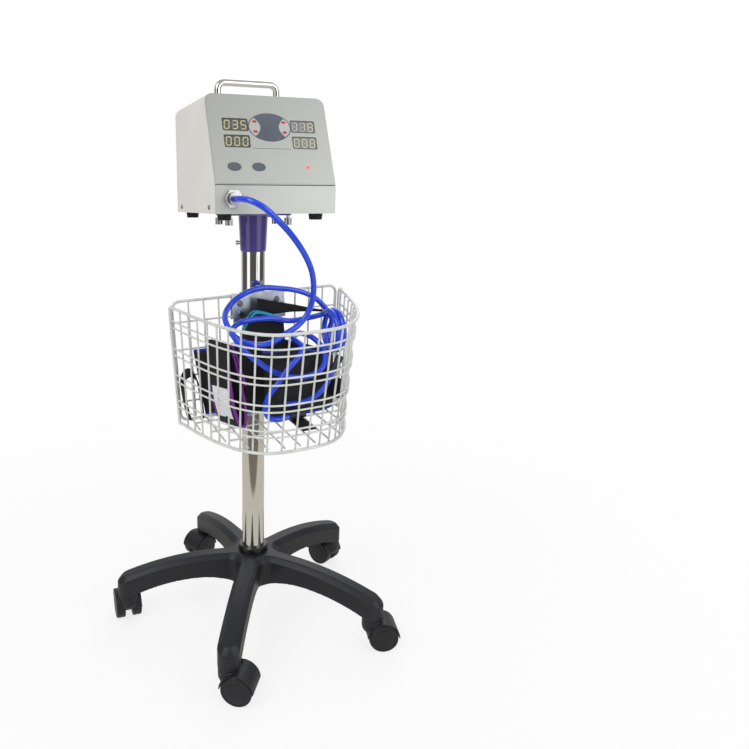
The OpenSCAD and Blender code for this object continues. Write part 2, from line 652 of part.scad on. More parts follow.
// A point of the front wall at a turn from 0 to 180 degrees and a height above the floor,
// inset from the outline. The outline is y = depth (1 - |x / half width| ^ plan_power).
function wall_point(turn, h, inset) =
    let (t = h / basket_h,
         w = lerp(floor_half_w, rim_half_w, t) - inset,
         d = lerp(floor_depth, rim_depth, t) - inset,
         ahead = pow(sin(turn), 2))
    hang([w * sign(cos(turn)) * pow(abs(cos(turn)), 2 / plan_power), wall_y - d * ahead,
          basket_z + h * (1 - side_fall * ahead) - front_fall * ahead]);

function back_point(x, h, dy) = hang([x * lerp(floor_half_w, rim_half_w, h / basket_h) / rim_half_w, back_y + dy, basket_z + h]);

module wire_loop(points, d, aside) loft_loop(wire_rings(points, d, 8, aside, true));

back_extra = 5;
back_corner_r = 12;
back_half = rim_half_w - 4;
back_wires = [16, 40, 64, 88, 112];
module basket_back() color("#d9dbd7") at_basket() {
    wire_loop([for (c = [[1, 0, 0], [1, 1, 0], [-1, 1, 90], [-1, 0, 90]], a = [0:30:90])
        let (right = c[0], up = c[1],
             turn = right > 0 ? (up > 0 ? a : a - 90) : (up > 0 ? a + 90 : a + 180),
             cx = right * (back_half - back_corner_r),
             cz = up > 0 ? basket_h + back_extra - back_corner_r : back_corner_r)
        back_point(cx + back_corner_r * cos(turn), cz + back_corner_r * sin(turn), 0)], frame_wire_d, [0, 1, 0]);
}

wall_steps = 28;
turns = [for (i = [0:wall_steps]) 180 * i / wall_steps];
corner_steps = 3;
post_corner_r = 9;
module basket_front() color("#dcded9") at_basket() {
    rim = [for (a = turns) if (a > 9 && a < 171) wall_point(a, basket_h, 0)];
    foot = [for (a = turns) if (a > 9 && a < 171) wall_point(180 - a, 0, 0)];
    left_post = [for (k = [0:corner_steps]) post_bend(180, k, true), for (k = [corner_steps:-1:0]) post_bend(180, k, false)];
    right_post = [for (k = [0:corner_steps]) post_bend(0, k, false), for (k = [corner_steps:-1:0]) post_bend(0, k, true)];
    wire_loop(concat(rim, left_post, foot, right_post), frame_wire_d, [1, 0.3, 1]);
}

// A pair of level wires round the front wall, inside its frame
module basket_ring(n) color("#dcded9") at_basket() for (side = [-1, 1])
    loft(wire_rings([for (i = [0:24]) wall_point(lerp(7, 173, i / 24), ring_heights[n - 1] + side * ring_gap / 2, mesh_inset)],
                    mesh_wire_d, 6, [0, 0, 1]));

// Bend from the rim or the foot wire into the post at the turn's end.
function post_bend(turn, k, upper) =
    let (a = 90 * k / corner_steps, sgn = upper ? 1 : -1, h = upper ? basket_h : 0,
         p = wall_point(turn, h, 0))
    p + [0, -post_corner_r * (1 - sin(a)), -sgn * post_corner_r * (1 - cos(a))];

// Upright wires of the front wall stand evenly on its sides and, closer, along its front, where
// they crowd a little towards the right. Each place is a length along the rim from its right end.
side_ribs = 4;
side_pitch = 28;
front_ribs = 15;
rib_sway = 13;
sway_from = 205;
sway_to = 455;
steps = 90;
function across_point(i) = let (u = cos(180 * i / steps)) [u, acos(sign(u) * pow(abs(u), plan_power / 2))];
arc_table = [for (i = 0, s = 0, p = wall_point(0, basket_h, 0); i <= steps;
                  i = i + 1, q = wall_point(across_point(min(i, steps))[1], basket_h, 0), s = s + norm(q - p), p = q)
             [s, across_point(i)[0]]];
arc_len = arc_table[steps][0];
function rib_arc(s) = s - rib_sway * (s > sway_from && s < sway_to ? sin(180 * (s - sway_from) / (sway_to - sway_from)) : 0);
function rib_turn(s) = let (u = lookup(s, arc_table)) acos(sign(u) * pow(abs(u), plan_power / 2));
rib_arcs = concat([for (i = [1:side_ribs]) i * side_pitch],
                  [for (i = [1:front_ribs]) rib_arc(lerp(side_ribs * side_pitch, arc_len - side_ribs * side_pitch, i / (front_ribs + 1)))],
                  [for (i = [1:side_ribs]) arc_len - i * side_pitch]);

// The upright wires of the front wall, and the straight wires of the back
module basket_ribs() color("#dfe1dc") at_basket() {
    for (s = rib_arcs) rod(wall_point(rib_turn(s), 0, rib_inset), wall_point(rib_turn(s), basket_h, rib_inset), mesh_wire_d);
    for (x = back_wires, side = [-1, 1])
        rod(back_point(side * x, 1, -rib_inset), back_point(side * x, basket_h + back_extra - 1, -rib_inset), mesh_wire_d);
    for (h = ring_heights) rod(back_point(-back_half + 2.5, h, -mesh_inset), back_point(back_half - 2.5, h, -mesh_inset), mesh_wire_d);
}

floor_pitch = 23;
cross_rows = [0.2, 0.45, 0.7];
module basket_floor() color("#d5d7d3") at_basket() {
    lift = frame_wire_d / 2 + mesh_wire_d / 2 + 0.35;
    for (i = [-5:5]) {
        x = i * floor_pitch;
        ahead = 1 - pow(abs(x) / (floor_half_w - rib_inset), plan_power);
        front = hang([x, wall_y - (floor_depth - rib_inset - 4) * ahead, basket_z - front_fall * ahead + lift]);
        rod(hang([x, back_y, basket_z + lift]), front, mesh_wire_d);
    }
    for (f = cross_rows) {
        half = (floor_half_w - rib_inset - 4) * pow(1 - f, 1 / plan_power);
        y = wall_y - (floor_depth - rib_inset) * f;
        z = basket_z - front_fall * f + lift + mesh_wire_d + 0.1;
        rod(hang([-half, y, z]), hang([half, y, z]), mesh_wire_d);
    }
}

// Clamp that holds the basket on the pole
bracket_w = 87;
bracket_h = 43;
bracket_t = 2;
bracket_z = 558;
bracket_roll = -4.5;
bolt_x = 30.5;
bolt_z = 7.75;
bolt_d = 5;
ridge_z = -7;
ridge_h = 20;
strap_t = 3;
strap_h = 40;
bracket_y = back_y - rib_inset - mesh_wire_d / 2 - 0.1;
strap_y = back_y + frame_wire_d / 2 + 0.1;
module at_bracket() at_basket() translate([0, 0, bracket_z]) rotate([0, bracket_roll, 0]) children();
module bolt_axes() at_bracket() for (x = [-1, 1], z = [-1, 1]) translate([x * bolt_x, 0, z * bolt_z]) rotate([90, 0, 0]) children();

module bracket_plate() color("#b9bdc3") difference() {
    at_bracket() {
        translate([-bracket_w / 2, bracket_y - bracket_t, -bracket_h / 2]) cube([bracket_w, bracket_t, bracket_h]);
        translate([-4, bracket_y - 0.01, ridge_z]) cube([8, -bracket_y - pole_d / 2 - 0.2, ridge_h]);
    }
    at_bracket() translate([-2.5, bracket_y - bracket_t - 1, ridge_z + 1.5]) cube([5, -bracket_y - pole_d / 2 - 1, ridge_h - 3]);
    bolt_axes() cylinder(d = bolt_d + 2 * seat, h = 100, center = true);
}

strap_r = pole_d / 2 + seat;
module bracket_strap() color("#aeb2b8") difference() {
    at_basket() translate([0, 0, bracket_z - strap_h / 2]) linear_extrude(strap_h) difference() {
        union() {
            circle(r = strap_r + strap_t);
            translate([-strap_r - strap_t, strap_y]) square([2 * (strap_r + strap_t), -strap_y]);
            translate([-bracket_w / 2, strap_y]) square([bracket_w, strap_t]);
        }
        circle(r = strap_r);
        translate([-strap_r, strap_y - 1]) square([2 * strap_r, -strap_y + 1]);
        translate([-60, strap_y - 40]) square([120, 40]);
    }
    bolt_axes() cylinder(d = bolt_d + 2 * seat, h = 100, center = true);
}

module bracket_bolts() color("#c9c9c6") bolt_axes() {
    translate([0, 0, -strap_y - strap_t - 6]) cylinder(d = bolt_d, h = strap_y - bracket_y + bracket_t + strap_t + 8);
    translate([0, 0, -bracket_y + bracket_t + 0.05]) cylinder(d1 = 10, d2 = 7, h = 3);
    translate([0, 0, -strap_y - strap_t - 0.05 - 4]) cylinder(d = 9, h = 4, $fn = 6);
}

// Air hose: one length, from the outlet into the basket, with two turns on end at the right
function turns_on_end(from, to, centre, r, start, sweep, count) = [for (i = [0:count])
    [lerp(from, to, i / count), centre[0] + r * cos(start + sweep * i / count), centre[1] + r * sin(start + sweep * i / count)]];

hose_points = concat(
    [[-68.5, -130.5, 722], [-68.3, -148, 722], [-60, -166, 720], [-45, -174, 712], [-27, -173, 698],
     [-7, -167, 681], [13, -158, 661], [31, -146, 640], [45, -133, 618], [53, -121, 594], [54, -112, 572],
     [47, -108, 552], [32, -110, 538], [12, -117, 530], [-11, -127, 521], [-35, -137, 520], [-56, -137, 524],
     [-68, -121, 531], [-65, -100, 538], [-48, -84, 544], [-25, -78, 546], [3, -76, 546], [34, -72, 540],
     [66, -61, 540]],
    turns_on_end(91, 109, [-92, 525], 31, 45, 705, 18),
    [[88, -57, 568], [60, -54, 582], [27, -52, 588], [-6, -54, 590], [-37, -64, 583], [-62, -84, 573],
     [-79, -110, 562], [-83, -132, 551], [-75, -146, 533], [-59, -148, 512], [-36, -140, 493],
     [-7, -129, 474], [23, -124, 464], [51, -124, 465], [70, -123, 476], [79, -107, 496], [70, -85, 513],
     [49, -80, 521], [32, -97, 517], [35, -121, 511], [27, -136, 501], [8, -140, 483], [-9, -140, 461],
     [-22, -138, 443], [-26, -134, 424], [-20, -132, 408], [-4, -129, 402], [14, -128, 404]]);
tube_points = [[12.5, -110.2, 420], [22, -115.5, 420], [36, -118, 421], [50, -119, 425], [66, -119, 434], [80, -118, 449], [90, -116, 466]];

// Rings of a round tube along points, with a frame that turns as little as it can.
function tube_rings(points, d, sides) =
    let (n = len(points),
         along = [for (i = [0:n - 1]) unit(points[min(i + 1, n - 1)] - points[max(i - 1, 0)])])
    [for (i = 0, u = unit(cross(along[0], [0, 0, 1])); i < n;
          i = i + 1, u = i < n ? unit(u - (u * along[i]) * along[i]) : u)
        let (v = cross(along[i], u))
        [for (j = [0:sides - 1]) points[i] + d / 2 * (cos(360 * j / sides) * u + sin(360 * j / sides) * v)]];

module air_hose() color("#3350e8") at_basket() loft(tube_rings(hose_points, hose_d, 10));
module cuff_tube() color("#3350e8") at_basket() loft(tube_rings(tube_points, hose_d, 10));

// Quick couplings on the free ends of the hose and of the cuff's own tube
coupling_len = 26;
coupling_d = 12;
module coupling_at(points) {
    tip = points[len(points) - 1];
    along = unit(tip - points[len(points) - 2]);
    translate(tip + 0.1 * along) rotate([0, acos(along[2]), atan2(along[1], along[0])]) difference() {
        union() {
            cylinder(d = coupling_d, h = 8);
            cylinder(d = coupling_d - 2, h = coupling_len);
            translate([0, 0, coupling_len - 10]) cylinder(d = coupling_d, h = 10);
        }
        translate([0, 0, coupling_len - 8]) cylinder(d = 6, h = 10);
    }
}
module hose_couplings() color("#c9ccd0") at_basket() {
    coupling_at(hose_points);
    coupling_at(tube_points);
}

// Cuffs: padded bands that stand on the basket's floor
cuff_z = basket_z + frame_wire_d / 2 + 2 * mesh_wire_d - 0.35;

// A band wound inwards about the Z axis from an ellipse of half axes a and b. Its far end in +Y is
// drawn in by the share taper, and it leans sideways by the share lean of its height.
module wound_band(a, b, t, wind, h, taper, lean) {
    step = 360 / 32;
    n = floor(wind / step);
    pitch = t + 1.2;
    function at(i, inwards) = let (e = pitch * i * step / 360 + inwards, y = (b - e) * sin(i * step))
        [(a - e) * cos(i * step) * (1 - taper * y / b) + lean * y, y];
    linear_extrude(h) polygon(concat([for (i = [0:n]) at(i, 0)], [for (i = [n:-1:0]) at(i, t)]));
}

module on_floor() at_basket() translate([0, 0, cuff_z]) rotate([0, -atan(hang_slope), 0]) children();

// The rolled cuff lies on its wound edge, with the roll's axis level
roll_at = [-72, -104];
roll_turn = 23.5;
roll_wind = 450;
roll_taper = 0.4;
roll_lean = -0.12;
roll_drop = 0.75 * (cuff_t + 1.2) + 0.9;
module rolled_cuff() color("#17171a") on_floor() translate([roll_at[0], roll_at[1], rolled_cuff_h / 2 - roll_drop])
    rotate([0, 0, roll_turn]) rotate([90, 0, 0]) translate([0, 0, -rolled_cuff_w / 2])
        wound_band(rolled_cuff_depth / 2, rolled_cuff_h / 2, cuff_t, roll_wind, rolled_cuff_w, roll_taper, roll_lean);

band_points = [[-12, -99], [6, -102], [34, -105], [64, -103], [90, -97], [105, -86], [111, -72], [107, -56],
               [88, -46], [48, -41], [0, -40], [-50, -38], [-80, -35], [-103, -34]];
band_fall_from = 45;
band_fall = 0.33;
module open_cuff() color("#1b1b1e") on_floor() difference() {
    linear_extrude(open_cuff_h) {
        n = len(band_points);
        aside = [for (i = [0:n - 1])
            let (d = unit(band_points[min(i + 1, n - 1)] - band_points[max(i - 1, 0)])) [-d[1], d[0]] * cuff_t / 2];
        polygon(concat([for (i = [0:n - 1]) band_points[i] + aside[i]], [for (i = [n - 1:-1:0]) band_points[i] - aside[i]]));
    }
    translate([band_fall_from, -200, open_cuff_h]) rotate([0, atan(band_fall), 0]) cube([150, 300, 100]);
}

module flat_cuff() color("#17171a") on_floor() translate([4, -59, 0]) linear_extrude(flat_cuff_h) difference() {
    polygon(ellipse_points(36, 10));
    polygon(ellipse_points(36 - cuff_t * 0.8, 10 - cuff_t * 0.8));
}

// Straps: the long one across the back, the arch at the left with its folded end, the end that lies
// on the floor in front, and the end that hangs at the right
long_strap_top = [[-8, 574], [14, 569], [50, 562], [84, 554], [116, 548]];
long_strap_low = [[116, 545], [84, 548], [50, 549], [14, 547], [-10, 551]];
arch_y = -48.3;
arch_places = [[-90.5, -2.2], [-91, 24], [-92, 46], [-94, 60], [-99, 69], [-106, 74], [-113.5, 72], [-118, 65],
               [-119.5, 54], [-118, 38], [-115.5, 19], [-113, -2.2]];
arch_tilts = [0, 0, 8, 26, 42, 50, 50, 42, 26, 8, 0, 0];
strap_w = 16;
floor_strap = [22, 60];
hung_strap = [26, 34];
module cuff_straps() color("#151517") {
    at_basket() translate([0, -47, 0]) rotate([90, 0, 0]) linear_extrude(strap_web_t)
        polygon(concat(long_strap_top, long_strap_low));
    on_floor() loft([for (i = [0:len(arch_places) - 1])
        let (last = len(arch_places) - 1, p = arch_places[i], q = arch_places[max(i - 1, 0)], r = arch_places[min(i + 1, last)],
             along = unit([r[0] - q[0], 0, r[1] - q[1]]), turn = -12 * i / last, tilt = arch_tilts[i],
             across = [cos(tilt) * sin(turn), cos(tilt) * cos(turn), sin(tilt)],
             out = unit(cross(along, across)) * strap_web_t / 2, at = [p[0], arch_y, p[1]])
        [at - across * strap_w / 2 - out, at + across * strap_w / 2 - out,
         at + across * strap_w / 2 + out, at - across * strap_w / 2 + out]]);
    on_floor() translate([20, -108.3 - floor_strap[1], -2.05]) cube([floor_strap[0], floor_strap[1], strap_web_t]);
    on_floor() translate([97.5, -95.6, 20]) rotate([0, 0, -75]) cube([hung_strap[0], strap_web_t, hung_strap[1]]);
}

star_base();
hub_collar();
pole();
console_socket();
socket_screw();
thumb_screws();
cover();
base_tray();
front_panel();
membrane();
rear_panel();
display_board();
digit_displays();
inflate_key();
deflate_key();
pressure_up_key();
pressure_down_key();
time_up_key();
time_down_key();
status_lamp();
carry_handle();
rubber_feet();
side_screws();
hose_union();
union_nut();
mains_inlet();
power_rocker();
control_board();
power_supply();
air_pump();
valve_block();
basket_back();
basket_front();
basket_ribs();
basket_floor();
basket_ring(1);  // basket_ring_1
basket_ring(2);  // basket_ring_2
basket_ring(3);  // basket_ring_3
basket_ring(4);  // basket_ring_4
bracket_plate();
bracket_strap();
bracket_bolts();
caster_hood(1);  // caster_1_hood
caster_wheels(1);  // caster_1_wheels
caster_hood(2);  // caster_2_hood
caster_wheels(2);  // caster_2_wheels
caster_hood(3);  // caster_3_hood
caster_wheels(3);  // caster_3_wheels
caster_hood(4);  // caster_4_hood
caster_wheels(4);  // caster_4_wheels
caster_hood(5);  // caster_5_hood
caster_wheels(5);  // caster_5_wheels
caster_stems();
air_hose();
cuff_tube();
hose_couplings();
rolled_cuff();
open_cuff();
flat_cuff();
cuff_straps();
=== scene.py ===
"""Looks of an automatic tourniquet on its rolling stand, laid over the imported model.

Sizes in the code are in millimetres in the frame of the piece that they belong to
(console, sloped panel, basket or stand), and become metres in the row frame at the end.
"""
import math

import bmesh
import bpy
import numpy as np
from bpy.props import FloatProperty, FloatVectorProperty, PointerProperty
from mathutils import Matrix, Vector


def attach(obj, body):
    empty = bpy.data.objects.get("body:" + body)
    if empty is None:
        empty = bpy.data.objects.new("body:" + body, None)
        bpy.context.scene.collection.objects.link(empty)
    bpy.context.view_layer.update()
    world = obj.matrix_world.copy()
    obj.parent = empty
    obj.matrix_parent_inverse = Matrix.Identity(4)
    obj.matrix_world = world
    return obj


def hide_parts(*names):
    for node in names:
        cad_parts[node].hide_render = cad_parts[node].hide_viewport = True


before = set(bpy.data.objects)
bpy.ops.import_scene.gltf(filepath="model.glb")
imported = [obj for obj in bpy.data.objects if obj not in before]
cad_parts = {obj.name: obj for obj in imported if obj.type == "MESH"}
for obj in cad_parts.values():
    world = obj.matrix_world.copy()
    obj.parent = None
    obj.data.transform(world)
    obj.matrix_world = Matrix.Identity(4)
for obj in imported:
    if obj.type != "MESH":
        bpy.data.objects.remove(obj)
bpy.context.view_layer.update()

bl_info = {
    "name": "Tourniquet on a rolling stand",
    "version": (1, 0, 0),
    "blender": (4, 5, 0),
    "location": "View3D > Sidebar > Tourniquet",
    "description": "Builds the looks of a clinic's tourniquet, its stand, basket, hose and cuffs",
    "category": "Add Mesh",
}

BODY = "stand"
MM = 0.001  # metres in a millimetre

# Places of the frames, as in the part's source
POLE = np.array([6.507, 15.485, 0.0])
CONSOLE_YAW, CONSOLE_AT = 19.0, np.array([-4.6, 0.0, 701.9])
HALF_W, HALF_D, LIP_H = 89.5, 117.25, 38.6
SLOPE_RUN, SLOPE_RISE = 51.3, 123.9
SLOPE_LEN = math.hypot(SLOPE_RUN, SLOPE_RISE)
BASKET_YAW = 18.5
STEM_CIRCLE_R, FIRST_ARM = 221.4, -9.3
TRAIL_ANGLES = (-16, 2, 136, 225, 109)
CASTER_TRAIL, WHEEL_R = 16.5, 24.0
BASKET_Z, BASKET_H = 387.0, 185.5
FLOOR_HALF_W, RIM_HALF_W, FLOOR_DEPTH, RIM_DEPTH = 134.0, 141.0, 181.0, 219.0
FRAME_WIRE, MESH_WIRE, RING_GAP = 4.6, 2.8, 10.5
BACK_Y = -(19.0 + FRAME_WIRE / 2 + 0.4)
WALL_Y = BACK_Y - FRAME_WIRE - 0.2
RING_HEIGHTS = (31.0, 72.5, 115.0, 158.5)
WALL_POWER, FRONT_DROP = 3.2, 4.5
HANG_SLOPE, HANG_LEAN, BASKET_SHIFT = 0.058, 0.018, -1.5
CUFF_Z = BASKET_Z + FRAME_WIRE / 2 + 2 * MESH_WIRE - 0.35


# Arrays

def floats(values):
    """Values as an array of floats."""
    return np.asarray(values, float)


def stacked(*parts):
    """Arrays or numbers of matching shapes as the coordinates of points."""
    return np.stack(np.broadcast_arrays(*parts), -1)


def around(count):
    """Angles of a full turn in equal steps."""
    return np.linspace(0, 2 * np.pi, count, endpoint=False)


def signed_power(value, power):
    """|value| ^ power, with the value's sign."""
    return np.sign(value) * np.abs(value) ** power


def unit(v):
    """Vectors divided by their lengths."""
    return v / np.linalg.norm(v, axis=-1, keepdims=True)


# Frames of the pieces

def turned(points, degrees):
    """Points turned about the Z axis: x cos - y sin, x sin + y cos, z."""
    p, a = floats(points), math.radians(degrees)
    return stacked(p[..., 0] * math.cos(a) - p[..., 1] * math.sin(a),
                   p[..., 0] * math.sin(a) + p[..., 1] * math.cos(a), p[..., 2])


def at_console(points):
    """Console frame to the row frame: shifted, turned by its yaw, then moved to the pole."""
    return turned(floats(points) + CONSOLE_AT, CONSOLE_YAW) + POLE


def on_slope(points):
    """Sloped panel's frame (across, up the slope, out of it) to the row frame."""
    p = floats(points)
    run, rise = SLOPE_RUN / SLOPE_LEN, SLOPE_RISE / SLOPE_LEN
    return at_console(stacked(p[..., 0], -HALF_D + p[..., 1] * run - p[..., 2] * rise,
                              LIP_H + p[..., 1] * rise + p[..., 2] * run))


def at_basket(points):
    """Basket frame to the row frame: turned by the basket's yaw and moved to the pole."""
    return turned(points, BASKET_YAW) + POLE


def on_floor(points):
    """The basket floor's frame, tilted sideways by the basket's slope, to the row frame."""
    p, a = floats(points), math.atan(HANG_SLOPE)
    return at_basket(stacked(p[..., 0] * math.cos(a) - p[..., 2] * math.sin(a), p[..., 1],
                             CUFF_Z + p[..., 0] * math.sin(a) + p[..., 2] * math.cos(a)))


def caster_frame(n):
    """The function from caster n's frame, stem on Z and wheels trailing along +X, to the row frame."""
    arm = math.radians(FIRST_ARM + 72 * (n - 1) - 90)
    stem = POLE + [STEM_CIRCLE_R * math.cos(arm), STEM_CIRCLE_R * math.sin(arm), 0]
    return lambda points: turned(points, TRAIL_ANGLES[n - 1]) + stem


def placed(part, place):
    """A (points, faces, uv) part with its points moved to another frame."""
    return place(part[0]), part[1], part[2]


def hang(x, y, z):
    """A point of the basket as it hangs: x leans with height, z rises with x."""
    return stacked(x + BASKET_SHIFT - HANG_LEAN * (z - BASKET_Z - BASKET_H), y, z + HANG_SLOPE * x)


def wall_point(turn, height, inset=0.0):
    """Front wall: y = depth (1 - |x / half width| ^ 3.2), both growing in line with height."""
    turn, height = np.broadcast_arrays(np.radians(turn), floats(height))
    share = height / BASKET_H
    half = FLOOR_HALF_W + (RIM_HALF_W - FLOOR_HALF_W) * share - inset
    depth = FLOOR_DEPTH + (RIM_DEPTH - FLOOR_DEPTH) * share - inset
    ahead = np.sin(turn) ** 2
    return hang(half * signed_power(np.cos(turn), 2 / WALL_POWER), WALL_Y - depth * ahead,
                BASKET_Z + height * (1 - 0.063 * ahead) - FRONT_DROP * ahead)


def across_turn(share):
    """The turn at which the front wall's x is a share u of its half width: acos(sign(u) |u| ^ 1.6)."""
    return np.degrees(np.arccos(signed_power(floats(share), WALL_POWER / 2)))


# Surfaces

def grid_quads(rows, cols, loop_rows=False, loop_cols=True):
    """Quads of a grid of points, closed on itself along its rows, its columns or both."""
    r, c = np.arange(rows - (not loop_rows))[:, None], np.arange(cols - (not loop_cols))[None, :]
    r2, c2 = (r + 1) % rows, (c + 1) % cols
    return stacked(r * cols + c, r * cols + c2, r2 * cols + c2, r2 * cols + c).reshape(-1, 4)


def end_rings(rows, cols):
    """The first and the last ring of a grid of points, as two faces."""
    last = (rows - 1) * cols
    return [list(range(cols))[::-1], list(range(last, last + cols))]


def smooth_path(points, per_span=5, closed=False):
    """A Catmull-Rom curve: on each span, half of
    (2b + (c - a)t + (2a - 5b + 4c - d)t^2 + (3b - a - 3c + d)t^3)."""
    p = floats(points)
    if closed:
        a, b, c, d = np.roll(p, 1, 0), p, np.roll(p, -1, 0), np.roll(p, -2, 0)
    else:
        q = np.vstack([2 * p[:1] - p[1:2], p, 2 * p[-1:] - p[-2:-1]])
        a, b, c, d = q[:-3], q[1:-2], q[2:-1], q[3:]
    t = (np.arange(per_span) / per_span)[None, :, None]
    a, b, c, d = (v[:, None, :] for v in (a, b, c, d))
    curve = (0.5 * (2 * b + (c - a) * t + (2 * a - 5 * b + 4 * c - d) * t ** 2
                    + (3 * b - a - 3 * c + d) * t ** 3)).reshape(-1, p.shape[1])
    return curve if closed else np.vstack([curve, p[-1:]])


def carried_frames(path, closed=False):
    """Tangents of a path, and two normals carried along it with the least turn."""
    ahead = np.roll(path, -1, 0) - np.roll(path, 1, 0)
    if not closed:
        ahead[0], ahead[-1] = path[1] - path[0], path[-1] - path[-2]
    t = unit(ahead)
    side = np.cross(t[0], [0.0, 0.0, 1.0])
    side = side if np.linalg.norm(side) > 0.1 else np.cross(t[0], [0.0, 1.0, 0.0])
    sides = [unit(side)]
    for step in t[1:]:
        s = sides[-1] - (sides[-1] @ step) * step
        sides.append(s / np.linalg.norm(s))
    u = np.array(sides)
    return t, u, np.cross(t, u)


def arc_length(path):
    """Distance along a path at each of its points."""
    return np.concatenate([[0.0], np.cumsum(np.linalg.norm(np.diff(path, axis=0), axis=1))])


def tube(path, radius, sides=12, closed=False):
    """A circle carried along a path: point + r (cos a side + sin a up). r may vary along the path."""
    path = floats(path)
    _, u, v = carried_frames(path, closed)
    a = around(sides)
    r = np.broadcast_to(radius, len(path))[:, None, None]
    c, s = np.cos(a)[None, :, None], np.sin(a)[None, :, None]
    rings = path[:, None] + r * (c * u[:, None] + s * v[:, None])
    faces = grid_quads(len(path), sides, loop_rows=closed).tolist()
    if not closed:
        faces += end_rings(len(path), sides)
    uv = stacked(arc_length(path)[:, None], (a * np.mean(radius))[None])
    return rings.reshape(-1, 3), faces, uv.reshape(-1, 2)


def rods(starts, ends, radius, sides=10):
    """Straight round rods between pairs of points, all at once, with flat ends."""
    starts, ends = floats(starts), floats(ends)
    t = unit(ends - starts)
    u = unit(np.cross(t, np.where(np.abs(t[:, 2:]) < 0.9, [[0.0, 0.0, 1.0]], [[0.0, 1.0, 0.0]])))
    v = np.cross(t, u)
    a = around(sides)
    ring = radius * (np.cos(a)[None, :, None] * u[:, None] + np.sin(a)[None, :, None] * v[:, None])
    points = np.stack([starts[:, None] + ring, ends[:, None] + ring], 1).reshape(-1, 3)
    base = np.arange(len(starts))[:, None] * 2 * sides
    quads = (grid_quads(2, sides).reshape(1, -1) + base).reshape(-1, 4).tolist()
    cap = np.arange(sides)[None] + base
    caps = cap.tolist() + (cap + sides).tolist()
    return points, quads + caps, np.zeros((len(points), 2))


def beads(places, radii, rings=5, sides=8):
    """Small ball-shaped weld beads at given places: r (sin b cos a, sin b sin a, cos b)."""
    b = np.linspace(0.12, np.pi - 0.12, rings)[:, None]
    a = around(sides)[None, :]
    ball = stacked(np.sin(b) * np.cos(a), np.sin(b) * np.sin(a), np.cos(b)).reshape(-1, 3)
    points = (floats(places)[:, None] + floats(radii) * ball[None]).reshape(-1, 3)
    base = np.arange(len(places))[:, None] * len(ball)
    quads = (grid_quads(rings, sides).reshape(1, -1) + base).reshape(-1, 4).tolist()
    cap = np.arange(sides)[None] + base
    caps = cap.tolist() + (cap + (rings - 1) * sides).tolist()
    return points, quads + caps, np.zeros((len(points), 2))


def lathe(profile, sides=48):
    """A profile of (radius, height) pairs turned about Z: (r cos a, r sin a, h)."""
    profile = floats(profile)
    a = around(sides)[None]
    r, h = profile[:, :1], profile[:, 1:]
    points = stacked(r * np.cos(a), r * np.sin(a), h).reshape(-1, 3)
    faces = grid_quads(len(profile), sides).tolist() + end_rings(len(profile), sides)
    return points, faces, np.zeros((len(points), 2))


def band(path, across, half_width, profile, closed=False, ripple=0.0):
    """A flat profile carried along a path: path + w across + n normal, where across is one direction
    or one for each point, normal is across times the tangent, and profile is a loop of (w, n) pairs.
    ripple adds soft waves to n, as on cloth that was rolled and pulled."""
    path, profile = floats(path), floats(profile)
    across = np.broadcast_to(unit(floats(across)), path.shape)
    ahead = np.roll(path, -1, 0) - np.roll(path, 1, 0)
    if not closed:
        ahead[0], ahead[-1] = path[1] - path[0], path[-1] - path[-2]
    normal = unit(np.cross(across, unit(ahead)))
    s = arc_length(path)
    w, n = profile[None, :, 0] * half_width, profile[None, :, 1]
    wave = ripple * (np.sin(s[:, None] / 11.0 + w / 9.0) + 0.6 * np.sin(s[:, None] / 6.3 - w / 7.0 + 1.3))
    points = (path[:, None] + w[..., None] * across[:, None] + (n + wave)[..., None] * normal[:, None])
    cols = len(profile)
    faces = grid_quads(len(path), cols, loop_rows=closed).tolist()
    if not closed:
        faces += end_rings(len(path), cols)
    uv = stacked(s[:, None], np.broadcast_to(w, (1, cols)))
    return points.reshape(-1, 3), faces, uv.reshape(-1, 2)


def pad_profile(thick, steps=14, edge=0.45):
    """Cross-section of a padded band, as (share of half width, height): thick/2 in the middle,
    falling to a share of that at its sewn edges, with the square root of a parabola between."""
    w = np.linspace(-1, 1, steps)
    n = thick / 2 * (edge + (1 - edge) * np.sqrt(np.clip(1 - w ** 6, 0, 1)))
    return np.concatenate([stacked(w, n), stacked(w[::-1], -n[::-1])])


def flat_profile(half_thick):
    """Cross-section of a thin patch, as (share of half width, height)."""
    return floats([(-1, -half_thick), (1, -half_thick), (1, half_thick), (-1, half_thick)])


def tape_profile(half, thick, at):
    """Binding tape folded over an edge at w = at: a flattened loop about half wide, thick/2 high."""
    a = around(14)
    return stacked(at + half * signed_power(np.cos(a), 0.6), thick / 2 * signed_power(np.sin(a), 0.6))


def plate(outline, low, high, place=on_slope):
    """A flat plate of the given outline between two heights of a frame."""
    outline = floats(outline)
    n = len(outline)
    points = np.concatenate([np.column_stack([outline, np.full(n, h)]) for h in (low, high)])
    faces = grid_quads(2, n).tolist() + end_rings(2, n)
    return place(points), faces, points[:, :2]


def box_outline(left, right, low, high):
    """The four corners of a level rectangle."""
    return (left, low), (right, low), (right, high), (left, high)


def ellipse(cx, cy, a, b, count=64, power=2.0):
    """A closed curve |x/a|^power + |y/b|^power = 1 about a centre."""
    t = around(count)
    return stacked(cx + a * signed_power(np.cos(t), 2 / power), cy + b * signed_power(np.sin(t), 2 / power))


def joined(*parts):
    """Several (points, faces, uv) parts as one."""
    points, faces, uv, base = [], [], [], 0
    for p, f, t in parts:
        points.append(p)
        faces += [[i + base for i in face] for face in f]
        uv.append(t)
        base += len(p)
    return np.concatenate(points), faces, np.concatenate(uv)


